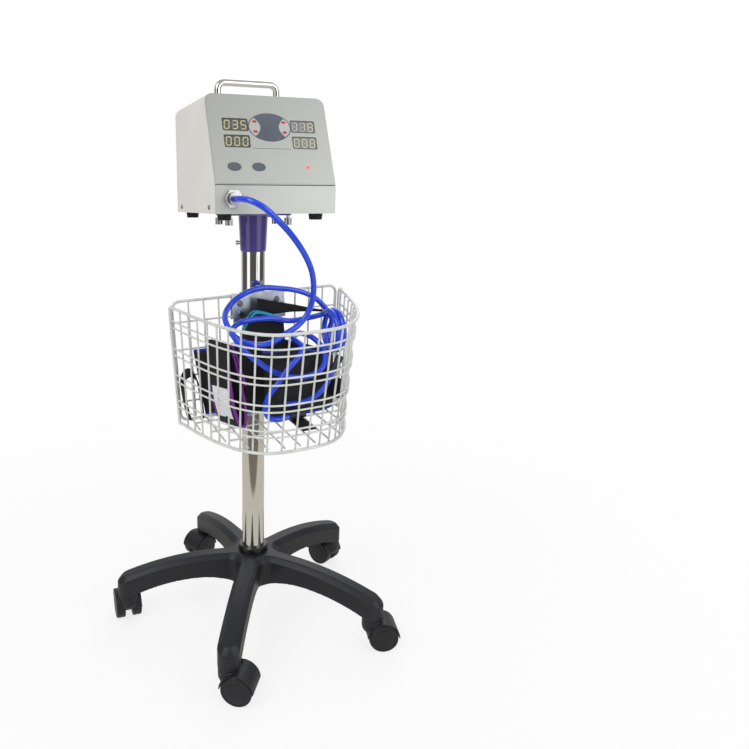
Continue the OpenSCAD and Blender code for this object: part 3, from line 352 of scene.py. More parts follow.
def add_piece(name, part, finish, slot, nodes=(), body=BODY, smooth=35.0):
    """Makes the mesh piece, its faces turned outwards and its edges sharp past an angle; its slot is not
    used.
    It rides on a body, and stands for the given CAD nodes."""
    points, faces, uv = part
    mesh = bpy.data.meshes.new(name)
    mesh.from_pydata((points * MM).tolist(), [], faces)
    layer = mesh.uv_layers.new(name="cut")
    corners = np.zeros(len(mesh.loops), np.int32)
    mesh.loops.foreach_get("vertex_index", corners)
    layer.data.foreach_set("uv", (uv[corners] * MM).astype(np.float32).ravel())
    work = bmesh.new()
    work.from_mesh(mesh)
    bmesh.ops.recalc_face_normals(work, faces=work.faces)
    work.to_mesh(mesh)
    work.free()
    mesh.shade_smooth()
    mesh.set_sharp_from_angle(angle=math.radians(smooth))
    piece = bpy.data.objects.new(name, mesh)
    bpy.context.scene.collection.objects.link(piece)
    mesh.materials.append(finish)
    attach(piece, body)
    if nodes:
        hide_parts(*nodes)
    return piece


# Shader maths

class Signal:
    """A socket's output. Maths on it adds Math nodes to its tree."""

    def __init__(self, tree, socket):
        self.tree, self.socket = tree, socket

    def maths(self, operation, *values):
        """One Math node's result."""
        return self.tree.node("ShaderNodeMath", {"operation": operation}, dict(enumerate(values)))

    def __add__(self, other): return self.maths("ADD", self, other)
    def __radd__(self, other): return self.maths("ADD", other, self)
    def __sub__(self, other): return self.maths("SUBTRACT", self, other)
    def __rsub__(self, other): return self.maths("SUBTRACT", other, self)
    def __mul__(self, other): return self.maths("MULTIPLY", self, other)
    def __rmul__(self, other): return self.maths("MULTIPLY", other, self)
    def __gt__(self, other): return self.maths("GREATER_THAN", self, other)
    def sine(self): return self.maths("SINE", self)
    def size(self): return self.maths("ABSOLUTE", self)


class Finish:
    """A material under construction: its node tree and its one shader."""

    def __init__(self, name, colour, roughness, metallic=0.0, **fixed):
        self.material = bpy.data.materials.new(name)
        self.material.use_nodes = True
        self.nodes, self.links = self.material.node_tree.nodes, self.material.node_tree.links
        self.shader = self.nodes["Principled BSDF"]
        self.set(**{"Base Color": (*colour[:3], 1.0), "Roughness": roughness, "Metallic": metallic, **fixed})
        self.material.diffuse_color = (*colour[:3], 1.0)

    def set(self, **sockets):
        """Feeds the shader's sockets, by their names."""
        for socket, value in sockets.items():
            self.feed(self.shader.inputs[socket], value)
        return self

    def feed(self, socket, value):
        """Links a signal to a socket, or sets the socket's own value."""
        if isinstance(value, Signal):
            self.links.new(value.socket, socket)
        elif hasattr(value, "__len__") and socket.type == "RGBA" and len(value) == 3:
            socket.default_value = (*value, 1.0)
        else:
            socket.default_value = value

    def node(self, kind, settings=None, inputs=None, out=0):
        """One node of a type, with its settings set first, then its sockets' values or links."""
        made = self.nodes.new(kind)
        for key, value in (settings or {}).items():
            setattr(made, key, value)
        for key, value in (inputs or {}).items():
            self.feed(made.inputs[key], value)
        return Signal(self, made.outputs[out])

    def axes(self, vector, names):
        """Named coordinates of a vector, as numbers."""
        outs = self.node("ShaderNodeSeparateXYZ", None, {"Vector": vector}).socket.node.outputs
        return [Signal(self, outs[name]) for name in names]

    def place(self, yaw=0.0, scale=(1, 1, 1)):
        """Object coordinates turned back by a yaw, then scaled."""
        at = self.node("ShaderNodeTexCoord", out="Object")
        at = self.node("ShaderNodeMapping", None, {"Vector": at, "Rotation": (0, 0, -math.radians(yaw))})
        return self.node("ShaderNodeMapping", None, {"Vector": at, "Scale": scale})

    def noise(self, scale, at=None, detail=3.0, roughness=0.55):
        """Noise over Object coordinates, or over a vector, as a number about 0.5."""
        inputs = {"Vector": at or self.place(), "Scale": scale, "Detail": detail, "Roughness": roughness}
        return self.node("ShaderNodeTexNoise", None, inputs, out="Fac")

    def spread(self, value, low, high, to_low=0.0, to_high=1.0):
        """A value's range mapped to another, held at its ends."""
        return self.node("ShaderNodeMapRange", None, {"Value": value, "From Min": low, "From Max": high,
                                                      "To Min": to_low, "To Max": to_high})

    def blend(self, share, a, b):
        """Two colours mixed by a share."""
        return self.node("ShaderNodeMix", {"data_type": "RGBA"}, {"Factor": share, 6: a, 7: b}, out=2)

    def tinted(self, value, low, high, colour, by_low, by_high):
        """A colour from one shade of itself to another over a range of a value."""
        return self.blend(self.spread(value, low, high), shade(colour, by_low), shade(colour, by_high))

    def bump(self, height, strength, distance):
        """The normal that a height gives."""
        inputs = {"Height": height, "Strength": strength, "Distance": distance}
        return self.node("ShaderNodeBump", None, inputs)

    def cloth_uv(self, scale):
        """The piece's own map, in metres along and across it, as two scaled numbers."""
        u, v = self.axes(self.node("ShaderNodeUVMap", {"uv_map": "cut"}), "XY")
        return u * scale, v * scale

    def done(self, colour, roughness=None, normal=None):
        """Feeds the sockets that change over the surface, and gives the material."""
        sockets = {"Base Color": colour, "Roughness": roughness, "Normal": normal}
        return self.set(**{socket: value for socket, value in sockets.items() if value is not None}).material


def rays(tree):
    """Light Path: whether a ray is the camera's, a mirrored one or one through glass; and the mirrored
    ones alone."""
    camera = tree.node("ShaderNodeLightPath", out="Is Camera Ray")
    outs = camera.socket.node.outputs
    glossy, through = Signal(tree, outs["Is Glossy Ray"]), Signal(tree, outs["Is Transmission Ray"])
    return camera.maths("MAXIMUM", camera.maths("MAXIMUM", camera, glossy), through), glossy


def painted_room(tree, turn):
    """Painted reflection, which gloss alone sees level with the object, by its turn from the front in
    radians: a dim room, a tall lit panel 46 degrees to the left and one 48 to the right, and a pale wall
    behind."""
    left = tree.spread((turn + 0.80).size(), 0.20, 0.30, 1.3, 0.0)
    right = tree.spread((turn - 0.84).size(), 0.25, 0.36, 1.3, 0.0)
    return left + right + tree.spread(turn.size(), 1.95, 2.4, 0.1, 0.7)


def tone(*values):
    """An sRGB colour of 0 to 255 as linear values."""
    s = np.array(values) / 255
    return tuple(float(x) for x in np.where(s <= 0.04045, s / 12.92, ((s + 0.055) / 1.055) ** 2.4))


def shade(colour, by):
    """A colour made darker or lighter by a factor."""
    return tuple(min(1.0, c * by) for c in colour)


def moulded(name, colour, roughness=0.5, grain=1400, depth=0.00012, coat=0.0, shine=0.5):
    """Moulded plastic: fine spark-eroded grain in the bump, soft patches in colour and roughness."""
    f = Finish(name, colour, roughness, **{"Coat Weight": coat, "IOR": 1.47, "Specular IOR Level": shine})
    patches, fine = f.noise(14, detail=4), f.noise(grain, detail=2)
    return f.done(f.tinted(patches, 0.3, 0.7, colour, 0.86, 1.18),
                  f.spread(patches * 0.5 + fine * 0.5, 0.3, 0.7, roughness - 0.07, roughness + 0.08),
                  f.bump(fine, 0.35, depth))


def plated(name, colour, roughness=0.06, fine=2500):
    """Polished plating: hairline polish marks in roughness and bump, faint haze in patches."""
    f = Finish(name, colour, roughness, 1.0)
    haze, hair = f.noise(30, detail=4), f.noise(fine, f.place(CONSOLE_YAW, scale=(1, 1, 0.04)), detail=2)
    return f.done(f.tinted(haze, 0.35, 0.65, colour, 0.95, 1.0),
                  f.spread(haze * 0.6 + hair * 0.4, 0.3, 0.7, roughness * 0.7, roughness * 1.6),
                  f.bump(hair, 0.08, 0.00002))


def turned_metal(name, colour, roughness=0.22, lines=2600, yaw=CONSOLE_YAW):
    """Turned or rolled metal: close lines in bump and roughness, and small dull spots."""
    f = Finish(name, colour, roughness, 1.0)
    lay, spots = f.noise(lines, f.place(yaw, scale=(1, 0.05, 1)), detail=2), f.noise(90, detail=5)
    return f.done(f.tinted(spots, 0.4, 0.75, colour, 1.0, 0.8),
                  f.spread(lay * 0.5 + spots * 0.5, 0.3, 0.7, roughness - 0.08, roughness + 0.12),
                  f.bump(lay, 0.25, 0.00005))


def powder_coat(name, colour, roughness=0.42, peel=700):
    """Powder coat: orange peel in the bump, and a slow drift of tone and roughness."""
    f = Finish(name, colour, roughness, **{"Coat Weight": 0.12, "Coat Roughness": 0.25})
    skin, drift = f.noise(peel, detail=1, roughness=0.4), f.noise(9, detail=3)
    return f.done(f.tinted(drift, 0.3, 0.7, colour, 0.965, 1.03),
                  f.spread(skin * 0.6 + drift * 0.4, 0.3, 0.7, roughness - 0.05, roughness + 0.07),
                  f.bump(skin, 0.3, 0.00012))


def brushed_print(name, colour, lamp=None):
    """Silver print over brushed sheet: fine level brush lines, a painted sheen of light and shade that
    grows down and to the right as x - z does, and a painted pink glow of the lamp's light round the lamp."""
    f = Finish(name, colour, 0.36, 0.2)
    x, z = f.axes(f.place(CONSOLE_YAW), "XZ")
    # The sheen is painted light and shade: the print is painted up to 22% darker towards the upper left and
    # keeps its full tone towards the lower right.
    sheen = f.spread(x - z, -0.93, -0.67)
    lines = f.noise(1.0, f.place(CONSOLE_YAW, scale=(14, 3400, 3400)), detail=3)
    wide = f.noise(1.0, f.place(CONSOLE_YAW, scale=(4, 700, 700)), detail=2)
    paint = f.tinted(lines * 0.6 + wide * 0.4, 0.35, 0.65, colour, 0.975, 1.02)
    paint = f.blend(sheen, f.blend(0.22, paint, (0.0, 0.0, 0.0)), paint)
    if lamp is not None:
        # Painted light: the lamp's pink glow is painted into the print's colour, three quarters pink within
        # 1.5 mm of the lamp and gone by 4.5 mm.
        far = f.node("ShaderNodeVectorMath", {"operation": "DISTANCE"},
                     {0: f.node("ShaderNodeTexCoord", out="Object"), 1: tuple(lamp * MM)}, out="Value")
        paint = f.blend(f.spread(far, 0.0015, 0.0045, 0.75, 0.0), paint, tone(255, 150, 165))
    return f.done(paint, f.spread(lines, 0.3, 0.7, 0.32, 0.44), f.bump(lines, 0.08, 0.00003))


def coated_wire(name, colour):
    """Thick dipped coating on wire: soft runs in the bump, dust in the colour."""
    f = Finish(name, colour, 0.34, **{"Coat Weight": 0.35, "Coat Roughness": 0.18})
    runs, dust = f.noise(160, detail=2), f.noise(45, detail=5)
    return f.done(f.tinted(dust, 0.42, 0.7, colour, 1.0, 0.84),
                  f.spread(runs * 0.5 + dust * 0.5, 0.3, 0.7, 0.26, 0.44), f.bump(runs, 0.3, 0.0004))


def woven(name, colour, pitch=1.1, sheen=0.35, fuzz=0.0):
    """Woven cloth or webbing on the piece's own map: over and under threads as the product of two
    sines, thread-to-thread tone, and soft creases. fuzz turns the weave into loop pile."""
    roughness = 0.82
    f = Finish(name, colour, roughness, **{"Sheen Weight": sheen, "Sheen Roughness": 0.45,
                                           "Sheen Tint": (*shade(colour, 3.0), 1.0)})
    waves = 2 * math.pi / (pitch * MM)
    u, v = f.cloth_uv(waves)
    threads = (u.sine() * v.sine()) * 0.5 + 0.5
    weave = threads * (1 - fuzz) + f.noise(1500, detail=3) * fuzz
    crease = f.noise(38, detail=3)
    return f.done(f.tinted(weave * 0.55 + crease * 0.45, 0.25, 0.75, colour, 0.72, 1.35),
                  f.spread(weave, 0, 1, roughness - 0.08, roughness + 0.1),
                  f.bump(weave * 0.5 + crease * 1.6, 0.55, 0.0006))


def hose_finish(name, colour):
    """Tinted clear-skinned polyurethane: glossy coat, slow tint changes and faint drag lines."""
    f = Finish(name, colour, 0.24, **{"Coat Weight": 0.6, "Coat Roughness": 0.07, "IOR": 1.5})
    _, round_it = f.cloth_uv(2600.0)
    tint, scuff = f.noise(22, detail=3), f.noise(260, detail=3)
    return f.done(f.tinted(tint, 0.3, 0.7, colour, 0.93, 1.08), f.spread(scuff, 0.35, 0.75, 0.14, 0.26),
                  f.bump(scuff + round_it.sine() * 0.1, 0.05, 0.0001))


def lit(name, colour, strength, body=(0.02, 0.02, 0.02)):
    """A lit segment or lamp: emission with a slight drop in tone from place to place."""
    f = Finish(name, body, 0.35, **{"Emission Strength": strength})
    return f.set(**{"Emission Color": f.tinted(f.noise(400, detail=1), 0.3, 0.7, colour, 0.93, 1.0)}).material


def board_finish(name, colour):
    """Coated circuit board: a darker and lighter grid of tracks under a green lacquer."""
    f = Finish(name, colour, 0.35, **{"Coat Weight": 0.4})
    at = f.place(CONSOLE_YAW)
    x, z = (axis * 2600.0 for axis in f.axes(at, "XZ"))
    tracks = ((x.sine() * f.noise(120, at)) > 0.28) * 0.6 + ((z.sine() * f.noise(90, at)) > 0.3) * 0.4
    return f.done(f.blend(tracks, colour, shade(colour, 1.9)), normal=f.bump(tracks, 0.3, 0.0001))


# Settings

def colour_setting(name, description, default):
    """A colour that a user can change."""
    return FloatVectorProperty(name=name, description=description, default=default, subtype="COLOR",
                               min=0, max=1)


def length_setting(name, description, default):
    """A length in metres that a user can change."""
    return FloatProperty(name=name, description=description, default=default, unit="LENGTH")


class StageSettings(bpy.types.PropertyGroup):
    lens: FloatProperty(name="Lens", description="Focal length on a 36 mm sensor", default=31.64, min=10,
                        unit="CAMERA")
    camera_away: length_setting("Distance", "From the pole's axis to the camera, level", 1.0595)
    camera_height: length_setting("Height", "Camera above the floor", 0.718)
    look_down: FloatProperty(name="Tilt", description="How far the camera looks down",
                             default=math.radians(13.68), subtype="ANGLE")
    floor: colour_setting("Floor", "Floor's colour", (0.93, 0.93, 0.93))


class HoseSettings(bpy.types.PropertyGroup):
    diameter: length_setting("Diameter", "Outside diameter of the air hose", 0.0085)
    colour: colour_setting("Colour", "Hose's colour", tone(34, 74, 224))


class CuffSettings(bpy.types.PropertyGroup):
    thickness: length_setting("Thickness", "Padded thickness of a cuff", 0.006)
    cloth: colour_setting("Cloth", "Cuffs' cloth", tone(30, 30, 34))
    purple: colour_setting("Rolled cuff's binding", "Its colour", tone(128, 52, 150))
    blue: colour_setting("Open cuff's binding", "Its colour", tone(30, 66, 178))
    cyan: colour_setting("Flat cuff's binding", "Its colour", tone(52, 164, 204))


class BasketSettings(bpy.types.PropertyGroup):
    frame_wire: length_setting("Frame wire", "Diameter of rim and foot wire", 0.0046)
    mesh_wire: length_setting("Mesh wire", "Diameter of the thin wires", 0.0028)
    colour: colour_setting("Coating", "Wire coating's colour", tone(222, 224, 220))


class ConsoleSettings(bpy.types.PropertyGroup):
    cover: colour_setting("Cover", "Powder coat of the cover", tone(221, 219, 213))
    panel: colour_setting("Panel", "Front panel's silver", tone(200, 203, 197))
    slate: colour_setting("Slate", "Printed field and oval keys", tone(93, 101, 113))
    digit: colour_setting("Digits", "Lit segments at the left", tone(206, 201, 146))


class StandSettings(bpy.types.PropertyGroup):
    nylon: colour_setting("Nylon", "Base and casters", tone(34, 36, 42))
    voxel: length_setting("Voxel", "Cell of the base's softened surface", 0.0012)


SETTINGS = {"tq_stage": StageSettings, "tq_hose": HoseSettings, "tq_cuffs": CuffSettings,
            "tq_basket": BasketSettings, "tq_console": ConsoleSettings, "tq_stand": StandSettings}


# Operators

# The lens's shift across and up, which frames the object as the photograph does
LENS_SHIFT = (0.162, -0.0164)
# Name, place, side, power and target of each lamp
LAMPS = (("key", (-1.5, -1.7, 2.3), 1.6, 26, (0, 0, 0.5)), ("fill", (1.9, -1.2, 1.3), 1.8, 12, (0, 0, 0.45)),
         ("back", (0.4, 2.1, 2.0), 1.6, 12, (0, 0, 0.5)))


class TQ_OT_stage(bpy.types.Operator):
    """Camera at the photograph's place, pale floor, plain soft light"""
    bl_idname = "tourniquet.stage"
    bl_label = "Stage"

    def execute(self, context):
        s = context.scene.tq_stage
        link = context.scene.collection.objects.link
        data = bpy.data.cameras.new("camera")
        data.sensor_width, data.lens = 36, s.lens
        data.shift_x, data.shift_y = LENS_SHIFT
        data.clip_start, data.clip_end = 0.02, 60
        camera = bpy.data.objects.new("camera", data)
        link(camera)
        camera.location = (POLE[0] * MM, POLE[1] * MM - s.camera_away, s.camera_height)
        camera.rotation_euler = (math.pi / 2 - s.look_down, 0, 0)
        context.scene.camera = camera

        floor = self.floor(tuple(s.floor))
        link(floor)
        for name, at, size, power, towards in LAMPS:
            lamp = bpy.data.lights.new(name, "AREA")
            lamp.size, lamp.energy = size, power
            made = bpy.data.objects.new(name, lamp)
            made.location = at
            made.rotation_euler = (Vector(towards) - Vector(at)).to_track_quat("-Z", "Y").to_euler()
            link(made)
        context.scene.world = self.surroundings()
        context.scene.view_settings.view_transform = "Standard"
        return {"FINISHED"}

    @staticmethod
    def floor(colour):
        """A wide level disc: r (cos a, sin a). The camera and gloss see it as a white sweep that keeps
        a fifth of its light and shade near the object; gloss sees a painted reflection of a dim room past its
        front edge."""
        f = Finish("floor_paint", colour, 0.9)
        f.set(**{"Base Color": f.blend(f.noise(3, detail=3), shade(colour, 0.985), colour)})
        at = f.node("ShaderNodeTexCoord", out="Object")
        x, y = f.axes(at, "XY")
        turn = f.node("ShaderNodeMath", {"operation": "ARCTAN2"}, {0: x, 1: y * -1.0})
        away = f.node("ShaderNodeVectorMath", {"operation": "LENGTH"}, {0: at}, out="Value")
        seen, glossy = rays(f)
        # Painted reflection for gloss: dark brown in front of y = -0.5 m, pale behind, and the painted room
        # from 1.5 m out.
        painted_reflection = f.blend(f.spread(y, -0.53, -0.47), tone(92, 82, 66), tone(204, 198, 187))
        painted_reflection = f.blend(f.spread(away, 1.5, 2.6), painted_reflection, painted_room(f, turn))
        sweep = f.node("ShaderNodeBsdfPrincipled", None, {
            "Base Color": (0.0, 0.0, 0.0), "Roughness": 1.0, "Specular IOR Level": 0.0,
            "Emission Strength": 1.0, "Emission Color": f.blend(glossy, (1.0, 1.0, 1.0), painted_reflection)})
        mixed = f.node("ShaderNodeMixShader", None, {0: seen * f.spread(away, 0.35, 1.5, 0.8, 1.0), 2: sweep})
        f.links.new(f.shader.outputs[0], mixed.socket.node.inputs[1])
        f.feed(f.nodes["Material Output"].inputs["Surface"], mixed)
        points, faces, _ = plate(ellipse(0, 0, 9000, 9000, 96), -3.0, 0.0, place=lambda p: p)
        mesh = bpy.data.meshes.new("floor")
        mesh.from_pydata((points * MM).tolist(), [], faces)
        mesh.materials.append(f.material)
        return bpy.data.objects.new("floor", mesh)

    @staticmethod
    def surroundings():
        """World: an even light, white to the camera. Gloss alone sees a painted reflection of the room
        around, and half white above.
        """
        world = bpy.data.worlds.new("surroundings")
        world.use_nodes = True
        tree = Finish.__new__(Finish)
        tree.nodes, tree.links = world.node_tree.nodes, world.node_tree.links
        seen, glossy = rays(tree)
        x, y, z = tree.axes(tree.node("ShaderNodeTexCoord", out="Generated"), "XYZ")
        # Painted reflection: the room and its lit panels are seen by glossy rays alone and light nothing.
        level = painted_room(tree, tree.node("ShaderNodeMath", {"operation": "ARCTAN2"}, {0: x, 1: y * -1.0}))
        painted_reflection = level + (0.5 - level) * tree.spread(z, 0.3, 0.65)
        even = tree.spread(seen, 0, 1, 0.62, 1.0)
        back = world.node_tree.nodes["Background"]
        tree.feed(back.inputs["Color"], (1.0, 1.0, 1.0))
        tree.feed(back.inputs["Strength"], even + glossy * (painted_reflection - even))
        return world


# The hose's two turns on end at the right, and routes in which "turns" stands for them
TURNS_X, TURNS_RUN, TURNS_Y, TURNS_Z, TURNS_R = 91, 18, -92, 525, 31
TURNS_FROM, TURNS_BY = 45, 705
HOSE_POINTS = (
    (-68.5, -130.5, 722), (-68.3, -148, 722), (-60, -166, 720), (-45, -174, 712), (-27, -173, 698),
    (-7, -167, 681), (13, -158, 661), (31, -146, 640), (45, -133, 618), (53, -121, 594), (54, -112, 572),
    (47, -108, 552), (32, -110, 538), (12, -117, 530), (-11, -127, 521), (-35, -137, 520), (-56, -137, 524),
    (-68, -121, 531), (-65, -100, 538), (-48, -84, 544), (-25, -78, 546), (3, -76, 546), (34, -72, 540),
    (66, -61, 540), "turns",
    (88, -57, 568), (60, -54, 582), (27, -52, 588), (-6, -54, 590), (-37, -64, 583), (-62, -84, 573),
    (-79, -110, 562), (-83, -132, 551), (-75, -146, 533), (-59, -148, 512), (-36, -140, 493),
    (-7, -129, 474), (23, -124, 464), (51, -124, 465), (70, -123, 476), (79, -107, 496), (70, -85, 513),
    (49, -80, 521), (32, -97, 517), (35, -121, 511), (27, -136, 501), (8, -140, 483), (-9, -140, 461),
    (-22, -138, 443), (-26, -134, 424), (-20, -132, 408), (-4, -129, 402), (14, -128, 404))
TUBE_POINTS = ((12.5, -110.2, 420), (22, -115.5, 420), (36, -118, 421), (50, -119, 425), (66, -119, 434),
               (80, -118, 449), (90, -116, 466))


def hose_route():
    """The hose's route in the basket frame. Its two turns on end at the right are a helix about X:
    x from 91 to 109, y = -92 + 31 cos a, z = 525 + 31 sin a, a from 45 to 750 degrees."""
    at = HOSE_POINTS.index("turns")
    share = np.arange(19) / 18
    a = np.radians(TURNS_FROM + TURNS_BY * share)
    turns = stacked(TURNS_X + TURNS_RUN * share, TURNS_Y + TURNS_R * np.cos(a), TURNS_Z + TURNS_R * np.sin(a))
    return np.vstack([HOSE_POINTS[:at], turns, HOSE_POINTS[at + 1:]])


class TQ_OT_hoses(bpy.types.Operator):
    """The blue air hose from the outlet into the basket, and the cuff's own tube"""
    bl_idname = "tourniquet.hoses"
    bl_label = "Hoses"

    def execute(self, context):
        s = context.scene.tq_hose
        finish = hose_finish("hose_blue", tuple(s.colour))
        for node, route in (("air_hose", hose_route()), ("cuff_tube", TUBE_POINTS)):
            path = at_basket(smooth_path(route, 5))
            piece = add_piece(node + "_piece", tube(path, s.diameter * 500, 16), finish, "hose_blue", [node])
        return {"FINISHED"}


def spiral(a, b, turn, pitch, step=5.0):
    """A flattened spiral: ((a - p t) cos t, (b - p t) sin t), drawn in by the pitch at each turn."""
    t = np.radians(np.arange(0, turn + 0.1, step))
    e = pitch * t / (2 * np.pi)
    return stacked((a - e) * np.cos(t), (b - e) * np.sin(t))


# Cuffs and straps, in the basket floor's frame
ROLL_AT, ROLL_TURN, ROLL_DROP = (-72.0, -104.0), 23.5, -6.3
ROLL_W, ROLL_DEPTH, ROLL_H = 50.0, 37.0, 142.0
ROLL_TAPER, ROLL_LEAN = 0.4, -0.12
OPEN_CUFF_H, FLAT_CUFF_H = 108.0, 162.0
OPEN_CUFF_ROUTE = ((-12, -99), (6, -102), (34, -105), (64, -103), (90, -97), (105, -86), (111, -72),
                   (107, -56), (88, -46), (48, -41), (0, -40), (-50, -38), (-80, -35), (-103, -34))
WEB_PROFILE = ((-1, -0.55), (-0.97, -0.75), (0.97, -0.75), (1, -0.55),
               (1, 0.55), (0.97, 0.75), (-0.97, 0.75), (-1, 0.55))
LONG_STRAP_X = (-9, 14, 50, 84, 116)
ARCH_Y = -38.5
# x, z and forward tilt in degrees along the arch
ARCH_PLACES = ((-97, -2.0, 0), (-97.5, 24, 0), (-99, 46, 8), (-101, 58, 26), (-105, 67, 42),
               (-111, 73, 50), (-118, 72, 50), (-123.5, 65, 42), (-125.5, 54, 26), (-124.5, 38, 8),
               (-122, 19, 0), (-119, -2.0, 0))


def on_roll(points):
    """The rolled cuff's frame (across the roll's depth, up, along its width) to the row frame. Its
    top is drawn in and leans: x' = x (1 - taper up / half height) + lean up."""
    p, a = floats(points), math.radians(ROLL_TURN)
    x, up, wide = p[..., 0], p[..., 1], p[..., 2]
    x = x * (1 - ROLL_TAPER * up / (ROLL_H / 2)) + ROLL_LEAN * up
    return on_floor(stacked(ROLL_AT[0] + x * math.cos(a) + wide * math.sin(a),
                            ROLL_AT[1] + x * math.sin(a) - wide * math.cos(a), up + ROLL_H / 2 + ROLL_DROP))


class TQ_OT_cuffs(bpy.types.Operator):
    """The rolled cuff, the open cuff and the flat cuff, with their bound edges, label and pile patch"""
    bl_idname = "tourniquet.cuffs"
    bl_label = "Cuffs"

    def execute(self, context):
        s = context.scene.tq_cuffs
        thick = s.thickness * 1000
        cloth = tuple(s.cloth)
        self.cloth = woven("cuff_fabric", cloth)
        self.pile = woven("cuff_pile", shade(cloth, 1.25), fuzz=0.8, sheen=0.6)
        for shape, tape in ((self.rolled, "purple"), (self.opened, "blue"), (self.flat, "cyan")):
            shape(thick, woven(tape + "_binding", tuple(getattr(s, tape)), 0.9, 0.25))
        return {"FINISHED"}

    def bound_band(self, node, path, half, thick, tape, place, ripple, closed=False, edge=None, wide=2.0):
        """A padded band with folded tape along both its edges, on the same path. edge moves its points
        before they are placed."""
        def put(profile, reach):
            points, faces, uv = band(path, (0, 0, 1), reach, profile, closed=closed, ripple=ripple)
            return place(edge(points) if edge else points), faces, uv

        body = put(pad_profile(thick - 0.8), half - (0.8 if closed else wide))
        piece = add_piece(node + "_piece", body, self.cloth, "cuff_fabric", [node], smooth=60)
        share = wide / half
        tapes = [put(tape_profile(share, thick * 0.62, side * (1 - share)), half) for side in (-1, 1)]
        add_piece(node + "_piece_binding", joined(*tapes), tape, "cuff_fabric", smooth=60)

    def rolled(self, thick, tape):
        """A flattened spiral of one and a quarter turns, with a bare white label on the side that
        faces the front, a little clear of the cloth."""
        pitch = thick + 1.2
        path = spiral(ROLL_DEPTH / 2 - thick / 2, ROLL_H / 2 - thick / 2, 450, pitch)
        path = np.column_stack([path, np.zeros(len(path))])
        self.bound_band("rolled_cuff", path, ROLL_W / 2, thick, tape, on_roll, ripple=0.25)
        t = np.radians(np.linspace(179, 225, 14))
        gap = 0.35 - pitch * t / (2 * np.pi)
        bent = stacked((ROLL_DEPTH / 2 + gap) * np.cos(t), (ROLL_H / 2 + gap) * np.sin(t), 0.0)
        points, faces, uv = band(bent, (0, 0, 1), 17.5, flat_profile(0.12))
        add_piece("cuff_label", (on_roll(points + [0, 0, 1.5]), faces, uv),
                  powder_coat("label_white", tone(238, 238, 242), 0.6, 400), "cuff_fabric")

    def opened(self, thick, tape):
        """A band on edge along a curved route, with a patch of soft loop pile outside its front run."""
        half = OPEN_CUFF_H / 2
        path = smooth_path(np.insert(floats(OPEN_CUFF_ROUTE), 2, half, axis=1), 8)

        def falling(points):
            """The top edge falls to the right of x = 45 by a third of the way gone, lower parts by less,
            and the left end slants: its foot stands 12 further in than its top."""
            x, high = points[:, 0], np.clip(points[:, 2] / OPEN_CUFF_H, 0, 1)
            fall = 0.33 * np.clip(x - 45, 0, None) * high ** 1.5
            slant = 12 * np.clip((-70 - x) / 33, 0, 1) * np.clip(1 - points[:, 2] / OPEN_CUFF_H, 0, 1)
            return points + stacked(slant, 0.0, -fall)

        self.bound_band("open_cuff", path, half, thick, tape, on_floor, ripple=0.3, edge=falling)
        front = smooth_path([(4, -105.2, 50.0), (34, -108.5, 50.0), (60, -106.8, 50.0)], 8)
        patch = band(front, (0, 0, 1), 36, flat_profile(0.5), ripple=0.2)
        add_piece("pile_patch", placed(patch, on_floor), self.pile, "cuff_fabric")

    def flat(self, thick, tape):
        """A closed band on edge round a narrow ellipse."""
        a, half = around(56), FLAT_CUFF_H / 2
        path = stacked(4 + 33.2 * np.cos(a), -59 + 7.2 * np.sin(a), half)

        def arched(points):
            """The top edge peaks left of the middle, at u = x + 6 = 0, and falls by 13 (u / 15)^2 to
            the left and 10 (u / 32)^1.3 to the right."""
            u = points[:, 0] + 6
            fall = np.where(u < 0, 13 * (u / 15) ** 2, 10 * (np.abs(u) / 32) ** 1.3)
            fall = np.clip(fall, 0, 24) * np.clip(points[:, 2] / 160, 0, 1) ** 2
            return points - stacked(0.0, 0.0, fall)

        self.bound_band("flat_cuff", path, half, thick * 0.8, tape, on_floor, closed=True, ripple=0.2,
                        edge=arched, wide=1.9)


